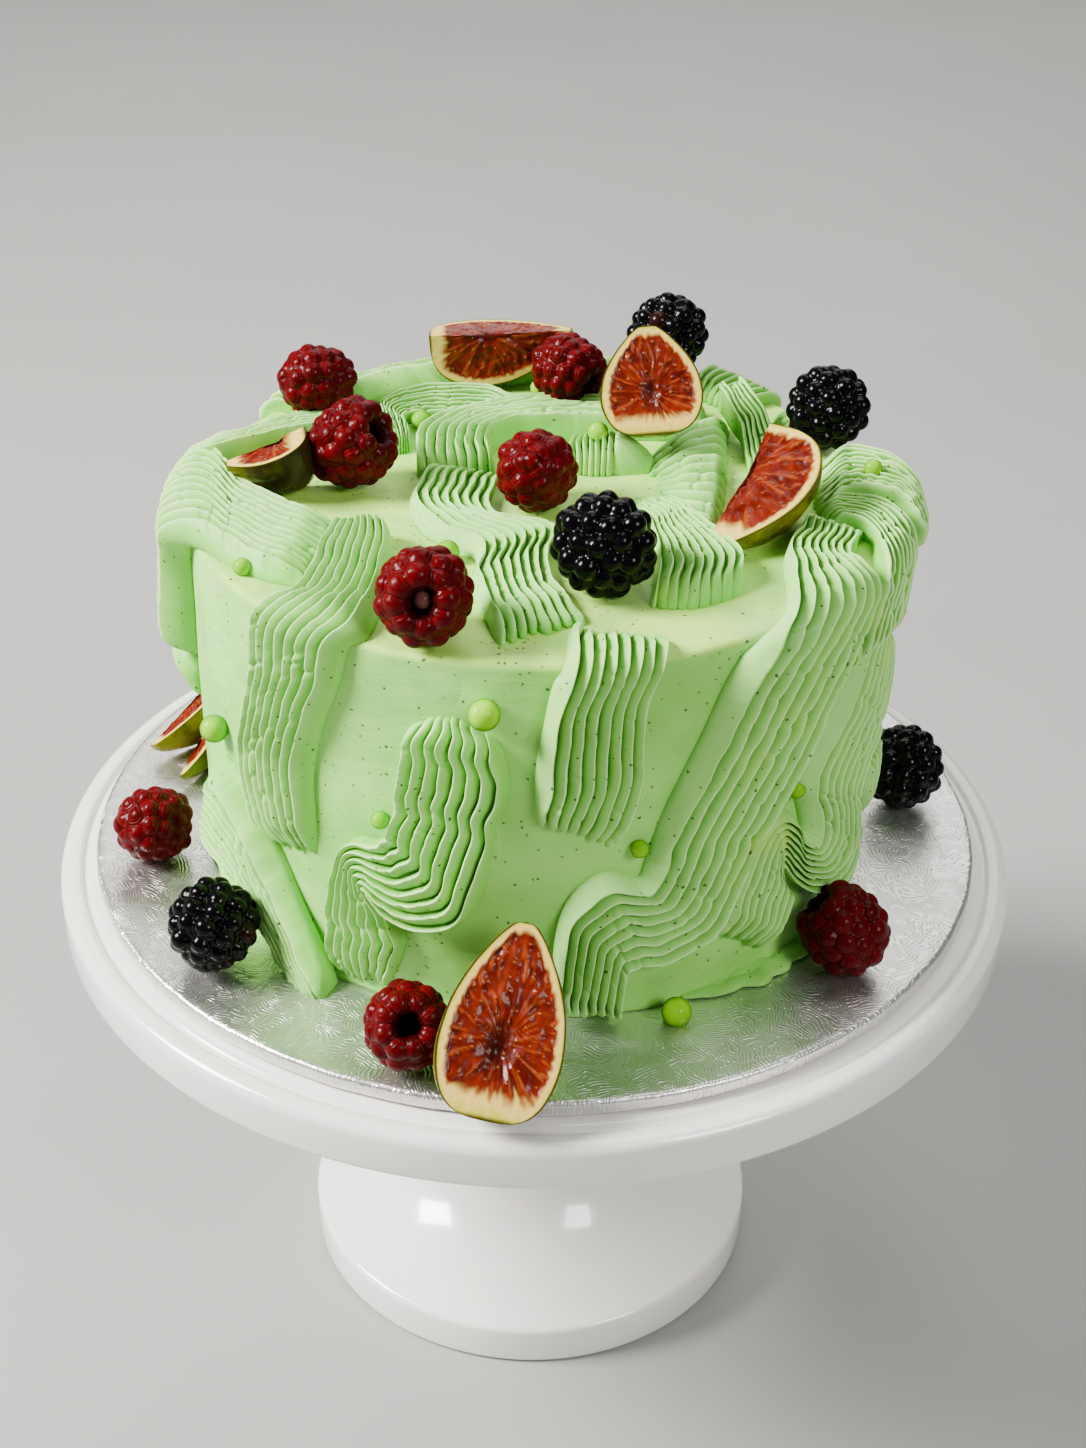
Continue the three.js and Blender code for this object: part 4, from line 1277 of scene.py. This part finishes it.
def makeBerry(name, look, seed, heart=0.0):
    dice = np.random.default_rng(seed)
    spots = drupeletSpots(look, dice)
    piece = spun(name, look["core"], 32)
    shape = bmesh.new()
    shape.from_mesh(piece.data)
    for x, y, z, size in spots:
        tall = Matrix.Diagonal((1, 1, dice.uniform(0.9, 1.0), 1))
        place = Matrix.Translation(Vector((x, y, z)) * mm) @ tall
        bmesh.ops.create_icosphere(shape, subdivisions=3, radius=size * mm, matrix=place)
    shape.to_mesh(piece.data)
    shape.free()
    applyModifier(piece, "REMESH", mode="VOXEL", voxel_size=look["voxel"] * mm, use_smooth_shade=True)
    applyModifier(piece, "SMOOTH", factor=0.5, iterations=2)
    tree = KDTree(len(spots))
    for i, (x, y, z, size) in enumerate(spots):
        tree.insert(Vector((x, y, z)) * mm, i)
    tree.balance()
    tint = dice.uniform(0, 1, len(spots))
    values = {"crease": [], "edgeWay": [], "hue": [], "inner": []}
    for vertex in piece.data.vertices:
        (_, first, near), (_, _, far) = tree.find_n(vertex.co, 2)
        x, y, z = vertex.co / mm
        hollow = look is raspberry and math.hypot(x, y) < look["hollowWide"] and z > look["hollowFloor"]
        values["crease"].append(max(0, 1 - (far - near) / (1.5 * mm)))
        values["edgeWay"].append((far - near) / mm)
        values["hue"].append(tint[first])
        values["inner"].append(1.0 if hollow else 0.0)
    values["heart"] = [0.0] * len(values["hue"])
    for label, run in values.items():
        floatAttribute(piece.data, label, run)
    if heart:
        middle = (0, 0, look["heartHeight"] * mm)
        bpy.ops.mesh.primitive_uv_sphere_add(segments=24, ring_count=16, radius=heart * mm, location=middle)
        ball = bpy.context.object
        bpy.ops.object.transform_apply(location=True, rotation=True, scale=True)
        for label, value in (("crease", 0), ("edgeWay", 3), ("hue", 0.5), ("inner", 0), ("heart", 1)):
            floatAttribute(ball.data, label, [value] * len(ball.data.vertices))
        onlyActive(piece)
        ball.select_set(True)
        bpy.ops.object.join()
    bpy.ops.object.shade_smooth()
    return piece


def makeRaspberryMaterial():
    material, nodes, shader = newMaterial("raspberrySkin")
    place = nodes.objectPlace()
    crease = nodes.attribute("crease")
    colour = nodes.mix(nodes.attribute("hue"), (0.05, 0.0003, 0.0012), (0.088, 0.0004, 0.002))
    blotch = nodes.span(nodes.noise(place, 240.0, 3.0), 0.35, 0.7)
    ring = nodes.times(nodes.span(crease, 0.2, 0.6), nodes.span(crease, 0.95, 0.65))
    for share, over in (
        (nodes.times(blotch, 0.45), (0.04, 0.0004, 0.001)),
        (nodes.times(ring, 0.12), (0.2, 0.004, 0.006)),
        # Painted shade deep in the creases between drupelets
        (nodes.span(crease, 0.68, 1.0, 0.0, 0.9), (0.014, 0.0002, 0.0004)),
        # Painted shade in the hollow of an open berry
        (nodes.times(nodes.attribute("inner"), 0.8), (0.014, 0.0004, 0.0004)),
        (nodes.attribute("heart"), (0.13, 0.045, 0.035)),
    ):
        colour = nodes.mix(share, colour, over)
    bent = nodes.times(nodes.noise(place, 260.0), 9.0)
    rings = nodes.math("SINE", nodes.math("ADD", nodes.times(nodes.attribute("edgeWay"), 5.5), bent))
    fine = nodes.noise(place, 900.0, 3.0, 0.6)
    nodes.fill(shader, {
        "Base Color": colour,
        "Roughness": nodes.patchy(place, 400.0, 0.3, 0.5),
        "Specular IOR Level": 0.03,
        "Subsurface Weight": 0.2,
        "Subsurface Radius": (1.0, 0.05, 0.04),
        "Subsurface Scale": 0.0016,
        "Coat Weight": 0.09,
        "Coat Roughness": 0.05,
        "Normal": nodes.bump(fine, 0.2, 0.0002, nodes.bump(rings, 0.35, 0.00016)),
    })
    return material


def makeBrambleMaterial():
    material, nodes, shader = newMaterial("brambleSkin")
    place = nodes.objectPlace()
    brown = nodes.span(nodes.attribute("hue"), 0.95, 0.98)
    nodes.fill(shader, {
        "Base Color": nodes.mix(brown, (0.0012, 0.0009, 0.0014), (0.012, 0.003, 0.002)),
        "Roughness": nodes.patchy(place, 300.0, 0.2, 0.35),
        "Specular IOR Level": 0.03,
        "Coat Weight": 0.17,
        "Coat Roughness": 0.04,
        "Normal": nodes.bump(nodes.noise(place, 420.0), 0.2, 0.0005),
    })
    return material


# Where each berry lies: its node, kind, middle, the way its open end points, and its size

berryPlaces = [
    ("raspberry_top_left", "closed", (-64.6, 49, 269), (0.9, 0.3, -0.25), 0.9),
    ("raspberry_top_left_open", "open", (-50.9, 1.8, 270.5), (0.8, -0.27, 0.52), 1.0),
    ("raspberry_top_middle", "closed", (-1.1, -10.2, 269.5), (0.1, 0.75, -0.6), 0.92),
    ("raspberry_top_back", "open", (7.3, 57, 270.5), (0.65, -0.6, -0.25), 0.9),
    ("raspberry_top_front_open", "hearted", (-26.6, -80.9, 270), (0, -0.95, 0.28), 1.0),
    ("raspberry_board_left", "closed", (-107.6, -25, 166), (0.8, 0.4, -0.2), 0.9),
    ("raspberry_board_front_open", "open", (-30.7, -111.5, 166.3), (0.05, -0.78, 0.62), 0.95),
    ("raspberry_board_right", "closed", (82, -71, 166.5), (-0.6, 0.2, 0.55), 1.0),
    ("raspberry_board_back", "open", (58, 93, 166.5), (-0.3, 0.5, 0.6), 0.95),
    ("bramble_top_front", "black", (15.7, -56, 271), (-0.75, 0.3, 0.35), 1.0),
    ("bramble_top_right", "black", (79.6, 29, 271.5), (0.3, 0.2, 0.9), 0.9),
    ("bramble_top_back", "black", (37, 72, 276), (0.4, 0.5, 0.7), 0.9),
    ("bramble_board_left", "black", (-83.8, -73.2, 167.6), (0.3, 0.75, 0.5), 0.93),
    ("bramble_board_right", "black", (108, 8.2, 167.6), (0.1, 0.6, 0.75), 0.93),
    ("bramble_board_back", "black", (-36, 105, 167.6), (0.6, -0.2, 0.7), 0.93),
]


def makeBerries():
    shapes = {
        "open": makeBerry("openRaspberry", raspberry, 11),
        "closed": makeBerry("closedRaspberry", raspberry, 12),
        "hearted": makeBerry("heartedRaspberry", raspberry, 14, heart=2.3),
        "black": makeBerry("bramble", bramble, 13),
    }
    red = makeRaspberryMaterial()
    skins = {"open": red, "closed": red, "hearted": red, "black": makeBrambleMaterial()}
    for i, (name, kind, at, direction, size) in enumerate(berryPlaces):
        copy = addObject(name + "_fruit", shapes[kind].data.copy())
        turn = Vector((0, 0, 1)).rotation_difference(Vector(direction).normalized()).to_matrix().to_4x4()
        twist = Matrix.Rotation(i * 1.7, 4, "Z") @ Matrix.Scale(size, 4)
        copy.data.transform(Matrix.Translation(Vector(at) * mm) @ turn @ twist)
        finishPiece(copy, skins[kind], "bramble" if kind == "black" else "raspberry", name)
    for shape in shapes.values():
        bpy.data.objects.remove(shape)
    print("berries made:", len(berryPlaces))


# Figs: a teardrop about its axis, cut in half or into a wedge

figShape = [
    (0, 0), (0.28, 0.004), (0.5, 0.02), (0.7, 0.06), (0.84, 0.12), (0.95, 0.22), (1, 0.33), (0.985, 0.44),
    (0.93, 0.55), (0.82, 0.66), (0.68, 0.76), (0.53, 0.845), (0.4, 0.91), (0.29, 0.955), (0.2, 0.985),
    (0.1, 0.997), (0, 1),
]
figGrid = {
    "along": 110,
    "faceSteps": 42,
    "skinSteps": 36,
    "merge": 0.0001,
    "smoothTo": 50,
    "pith": 2.3,
    "seedGap": 3.1,
    "seedSize": 0.62,
    "seedHigh": 0.3,
    "seedTries": 1100,
}

figs = [
    {
        "name": "fig_top_back", "stalk": (9, 71, 277), "eye": (-33, 68.5, 275.5), "face": (0, -1, 0.1),
        "second": (0, 0, 1), "radius": 16, "ripe": 0.5,
    },
    {
        "name": "fig_top_half", "stalk": (28.5, 32, 293.5), "eye": (31, 15, 268.8),
        "face": (-0.05, -0.83, 0.55),
        "radius": 14, "ripe": 0.15, "pale": (0.42, 0.8),
    },
    {
        "name": "fig_top_right", "stalk": (42, -38, 262.5), "eye": (60, -5, 281.5),
        "face": (-0.18, -0.34, 0.92),
        "second": (-0.9, 0.44, 0.08), "radius": 19, "ripe": 0.25, "pale": (0.7, 0.28),
    },
    {
        "name": "fig_top_left", "stalk": (-84, -0.5, 266), "eye": (-62.5, 3.5, 275),
        "face": (-0.35, 0, 0.93),
        "second": (-0.1, 1, 0), "radius": 15, "ripe": 0.85, "pale": (0.4, 0.5),
    },
    {
        "name": "fig_board_front", "stalk": (-1.7, -104.5, 193), "eye": (-11, -137.3, 158.5),
        "face": (0.05, -0.69, 0.72), "radius": 15.4, "depth": 1.5, "cavity": (0.36, 2.6), "ripe": 0.3,
        "pale": (0.33, 0.8),
    },
    {
        "name": "fig_board_left", "stalk": (-117, 26, 159.5), "eye": (-98.5, 52, 173),
        "face": (-0.6, 0, 0.8),
        "second": (-0.6, 0.8, 0), "radius": 13.5, "ripe": 0.6,
    },
    {
        "name": "fig_board_left_small", "stalk": (-106, 11, 158.5), "eye": (-101, 33, 164.5),
        "face": (-0.5, 0.2, 0.84), "second": (-0.9, 0.2, 0), "radius": 8.5, "ripe": 1.0,
    },
    {
        "name": "fig_board_back", "stalk": (22, 122, 162), "eye": (-8, 107, 172),
        "face": (0.1, 0.35, 0.93),
        "second": (0.4, 0.9, 0), "radius": 15,
    },
]


def figRing(centre, out, other, r, h, depth, quarter):
    # The points of one ring, and for each its face (0 is skin), way from the skin, place across and height
    faceSteps = figGrid["faceSteps"]
    skinSteps = figGrid["skinSteps"]
    ring, marks = [], []

    def put(point, *mark):
        ring.append(point)
        marks.append((*mark, h))

    if quarter:
        for j in range(faceSteps + 1):
            share = 1 - j / faceSteps
            put(centre - other * r * share, 1, r * (1 - share), share * r)
        for j in range(1, faceSteps + 1):
            share = j / faceSteps
            put(centre - out * r * share, 2, r * (1 - share), -share * r)
        for j in range(1, skinSteps):
            angle = math.pi / 2 * j / skinSteps
            put(centre - out * r * math.cos(angle) - other * r * math.sin(angle), 0, 0, angle * r)
        return ring, marks
    sunk = min(depth, r * 0.95)
    halfWidth = math.sqrt(max(0, r * r - sunk * sunk))
    for j in range(2 * faceSteps + 1):
        share = 1 - j / faceSteps
        put(centre + other * halfWidth * share, 1, halfWidth * (1 - abs(share)), share * halfWidth)
    most = math.acos(-sunk / r) if r > 1e-6 else math.pi / 2
    for j in range(1, skinSteps):
        angle = -most + 2 * most * j / skinSteps
        put(centre - out * (sunk + r * math.cos(angle)) + other * r * math.sin(angle), 0, 0, angle * r)
    return ring, marks


def figSeeds(points, flesh, onFace, dice):
    # Small bumps in the flesh, none closer to another than the gap
    spots = []
    for _ in range(figGrid["seedTries"]):
        pick = (dice.integers(0, flesh.shape[0]), dice.integers(0, flesh.shape[1]))
        if flesh[pick] > 0.85 and all(np.linalg.norm(points[pick] - s) > figGrid["seedGap"] for s in spots):
            spots.append(points[pick])
    seeds = np.zeros_like(flesh)
    for spot in spots:
        away = np.linalg.norm(points - spot, axis=-1)
        seeds = np.maximum(seeds, np.clip(1 - (away / figGrid["seedSize"]) ** 2, 0, 1) * onFace)
    return seeds


def makeFig(
    name, stalk, eye, face, radius, second=None, depth=0.0, cavity=(0.4, 1.2), ripe=0.4, pale=(0.5, 0.5),
):
    dice = np.random.default_rng(sum(ord(letter) for letter in name))
    start = np.array(eye, dtype=float)
    axis = np.array(stalk, dtype=float) - start
    length = np.linalg.norm(axis)
    axis /= length
    out = np.array(face, dtype=float)
    out -= axis * out.dot(axis)
    out /= np.linalg.norm(out)
    other = np.cross(axis, out)
    quarter = second is not None
    if quarter and other.dot(np.array(second, dtype=float)) < 0:
        other = -other
    curve = curveThrough(figShape, 8)
    steps = summed(stepLengths(curve * [radius, length]))
    ways = np.linspace(0, steps[-1], figGrid["along"])
    ringRadius = np.interp(ways, steps, curve[:, 0]) * radius
    ringHeight = np.interp(ways, steps, curve[:, 1]) * length
    points, marks = zip(*(
        figRing(start + axis * h, out, other, r, h, depth, quarter) for r, h in zip(ringRadius, ringHeight)
    ))
    points = np.array(points)
    kind, fromSkin, across, heightAt = np.moveaxis(np.array(marks), -1, 0)
    onFace = kind > 0
    endGap = np.minimum(heightAt * pale[0], (length - heightAt) * pale[1])
    fromSkin = np.minimum(fromSkin, endGap + 0.2)
    flesh = smooth((fromSkin - figGrid["pith"]) / 1.4) * onFace
    seeds = figSeeds(points, flesh, onFace, dice)

    rings, columns = kind.shape
    lumps = np.zeros_like(flesh)
    threads = np.zeros_like(flesh)
    rib = np.zeros_like(flesh)
    for at in np.ndindex(rings, columns):
        rib[at] = noise.noise(Vector((across[at] * 0.25, heightAt[at] * 0.04, 8)))
        if onFace[at]:
            lumps[at] = noise.noise(Vector((points[at] * 0.45).tolist()))
            turn = math.atan2(across[at], heightAt[at] - length * 0.4)
            threads[at] = noise.noise(Vector((turn * 11, fromSkin[at] * 0.35, 3)))
    offSide = across / (cavity[1] + 1)
    offMiddle = (heightAt - length * cavity[0]) / (length * 0.14)
    hollow = np.exp(-(offSide**2) - offMiddle**2)
    raised = flesh * (0.45 * lumps + 0.35 * threads - 0.35 - cavity[1] * hollow * 0.8)
    raised = (raised + figGrid["seedHigh"] * seeds) * smooth(fromSkin / 1.5)
    push = np.where(kind[..., None] == 1, out, other) * raised[..., None]
    if quarter:
        ridge = (np.abs(across) < 0.01) & onFace
        push[ridge] = (out + other) * 0.5 * raised[ridge][:, None]
    points = points + push
    middle = start + axis * heightAt[..., None]
    points = np.where(onFace[..., None], points, points + (points - middle) * (rib * 0.035)[..., None])

    index = np.arange(rings * columns).reshape(rings, columns)
    beside = np.roll(index, -1, axis=1)
    faces = np.stack([index[:-1], beside[:-1], beside[1:], index[1:]], axis=-1).reshape(-1, 4).tolist()
    mesh = bpy.data.meshes.new(name + "_fruit")
    mesh.from_pydata((points.reshape(-1, 3) * mm).tolist(), [], faces)
    attributes = {
        "fromSkin": fromSkin / 10 * onFace,
        "onFace": onFace,
        "seed": seeds,
        "thread": threads * 0.5 + 0.5,
        "hollow": hollow * flesh,
        "toStalk": heightAt / length,
        "ripe": np.full_like(flesh, ripe),
    }
    for label, values in attributes.items():
        floatAttribute(mesh, label, values.ravel())
    piece = addObject(name + "_fruit", mesh)
    mendMesh(figGrid["merge"] * mm)
    bpy.ops.object.shade_smooth_by_angle(angle=math.radians(figGrid["smoothTo"]))
    return piece


def makeFigMaterial():
    material, nodes, shader = newMaterial("figFruit")
    place = nodes.objectPlace()
    fromSkin = nodes.attribute("fromSkin")
    thread = nodes.attribute("thread")
    wobble = nodes.times(nodes.math("SUBTRACT", nodes.noise(place, 300.0, 3.0), 0.5), 0.11)
    strand = nodes.times(nodes.math("SUBTRACT", thread, 0.5), 0.16)
    inward = nodes.math("ADD", fromSkin, nodes.math("ADD", wobble, strand))
    deep = nodes.span(nodes.noise(place, 190.0, 3.0), 0.3, 0.7)
    flesh = nodes.mix(deep, (0.06, 0.0025, 0.0006), (0.14, 0.009, 0.0014))
    flesh = nodes.mix(nodes.span(thread, 0.5, 0.72, 0.0, 0.6), flesh, (0.27, 0.05, 0.008))
    flesh = nodes.mix(nodes.times(nodes.attribute("hollow"), 0.9), flesh, (0.02, 0.001, 0.0004))
    flesh = nodes.mix(nodes.span(nodes.attribute("seed"), 0.4, 0.9, 0.0, 0.5), flesh, (0.40, 0.14, 0.025))
    pith = nodes.mix(nodes.span(inward, 0.03, 0.14), (0.46, 0.42, 0.035), (0.68, 0.47, 0.11))
    face = nodes.mix(nodes.span(inward, 0.16, 0.29), pith, flesh)
    face = nodes.mix(nodes.span(fromSkin, 0.075, 0.03), face, (0.035, 0.03, 0.003))
    ripe = nodes.times(nodes.attribute("ripe"), 0.42)
    turned = nodes.math("SUBTRACT", nodes.noise(place, 60.0, 3.0), ripe)
    skin = nodes.mix(nodes.span(turned, 0.2, 0.38), (0.022, 0.012, 0.004), (0.19, 0.155, 0.002))
    skin = nodes.mix(nodes.span(nodes.attribute("toStalk"), 0.6, 0.98, 0.0, 0.5), skin, (0.22, 0.21, 0.006))
    blotch = nodes.span(nodes.noise(place, 140.0, 4.0), 0.5, 0.75, 0.0, 0.75)
    skin = nodes.mix(blotch, skin, (0.022, 0.008, 0.006))
    pulp = nodes.add("ShaderNodeTexNoise", Vector=place, Scale=420.0, Detail=3.0, Distortion=1.2)
    nodes.fill(shader, {
        "Base Color": nodes.mix(nodes.attribute("onFace"), skin, face),
        "Roughness": nodes.patchy(place, 260.0, 0.22, 0.45),
        "Specular IOR Level": 0.1,
        "Subsurface Weight": 0.1,
        "Subsurface Radius": (1.0, 0.3, 0.1),
        "Subsurface Scale": 0.0012,
        "Coat Weight": 0.11,
        "Coat Roughness": 0.08,
        "Normal": nodes.bump(pulp.outputs["Fac"], 0.25, 0.0006),
    })
    return material


def makeFigs():
    material = makeFigMaterial()
    for one in figs:
        finishPiece(makeFig(**one), material, "fig", one["name"])
    print("figs made:", len(figs))


# Camera, lights and floor

photo = {"height": 1448, "focal": 2108.6}
lens = {"sensor": 36, "near": 0.01, "far": 40}
eyePoint = {"place": (0, -514.9, 501.3), "pitch": 31.54, "yaw": 0.2, "roll": 0.88}


def makeCamera():
    camera = bpy.data.objects.new("camera", bpy.data.cameras.new("camera"))
    bpy.context.scene.collection.objects.link(camera)
    bpy.context.scene.camera = camera
    camera.data.sensor_width = lens["sensor"]
    camera.data.lens = lens["sensor"] * photo["focal"] / photo["height"]
    camera.data.clip_start = lens["near"]
    camera.data.clip_end = lens["far"]
    pitch = math.radians(eyePoint["pitch"])
    yaw = math.radians(eyePoint["yaw"])
    forward = Vector((math.sin(yaw) * math.cos(pitch), math.cos(yaw) * math.cos(pitch), -math.sin(pitch)))
    right = forward.cross(Vector((0, 0, 1))).normalized()
    up = right.cross(forward)
    roll = math.radians(eyePoint["roll"])
    turnedRight = right * math.cos(roll) + up * math.sin(roll)
    turnedUp = up * math.cos(roll) - right * math.sin(roll)
    rotation = Matrix((turnedRight, turnedUp, -forward)).transposed()
    camera.rotation_mode = "QUATERNION"
    camera.rotation_quaternion = rotation.to_quaternion()
    camera.location = Vector(eyePoint["place"]) * mm


warmLight = (1.0, 0.965, 0.91)
paleLight = (1.0, 0.98, 0.95)
lights = [
    {"name": "keyLight", "from": (-1.42, -0.14, 1.3), "size": 0.65, "power": 147, "colour": warmLight},
    {"name": "topLight", "from": (0.3, 0.5, 1.9), "size": 0.8, "power": 11, "colour": paleLight},
    {"name": "fillLight", "from": (1.2, -1.3, 1.4), "size": 0.7, "power": 32, "colour": paleLight},
    {"name": "backPanel", "from": (0.1, 2.1, 1.45), "size": 1.7, "power": 26, "colour": paleLight},
]


room = {"aim": (0, 0, 0.19), "air": (0.83, 0.86, 0.85), "airPower": 0.2}
ground = {"size": 16, "colour": (0.31, 0.315, 0.31), "deep": (0.29, 0.295, 0.29)}


def makeLights():
    aim = Vector(room["aim"])
    for one in lights:
        light = bpy.data.objects.new(one["name"], bpy.data.lights.new(one["name"], "AREA"))
        bpy.context.scene.collection.objects.link(light)
        light.data.size = one["size"]
        light.data.energy = one["power"]
        light.data.color = one["colour"]
        light.location = Vector(one["from"])
        light.rotation_mode = "QUATERNION"
        light.rotation_quaternion = (aim - light.location).to_track_quat("-Z", "Y")
    world = bpy.data.worlds.new("studio")
    bpy.context.scene.world = world
    world.use_nodes = True
    background = world.node_tree.nodes["Background"]
    background.inputs["Color"].default_value = (*room["air"], 1)
    background.inputs["Strength"].default_value = room["airPower"]


def makeFloor():
    bpy.ops.mesh.primitive_plane_add(size=ground["size"], location=(0, 0, 0))
    floor = bpy.context.object
    floor.name = "floor"
    material, nodes, shader = newMaterial("paleFloor")
    colour = nodes.tone(nodes.objectPlace(), 3.0, ground["colour"], ground["deep"])
    nodes.fill(shader, {"Base Color": colour, "Roughness": 0.6})
    floor.data.materials.append(material)


makeCamera()
makeLights()
makeFloor()
print("stage set")
makeStand()
makeBoard()
makeCake()
makeSmear()
makeRibbons()
makePearls()
makeBerries()
makeFigs()
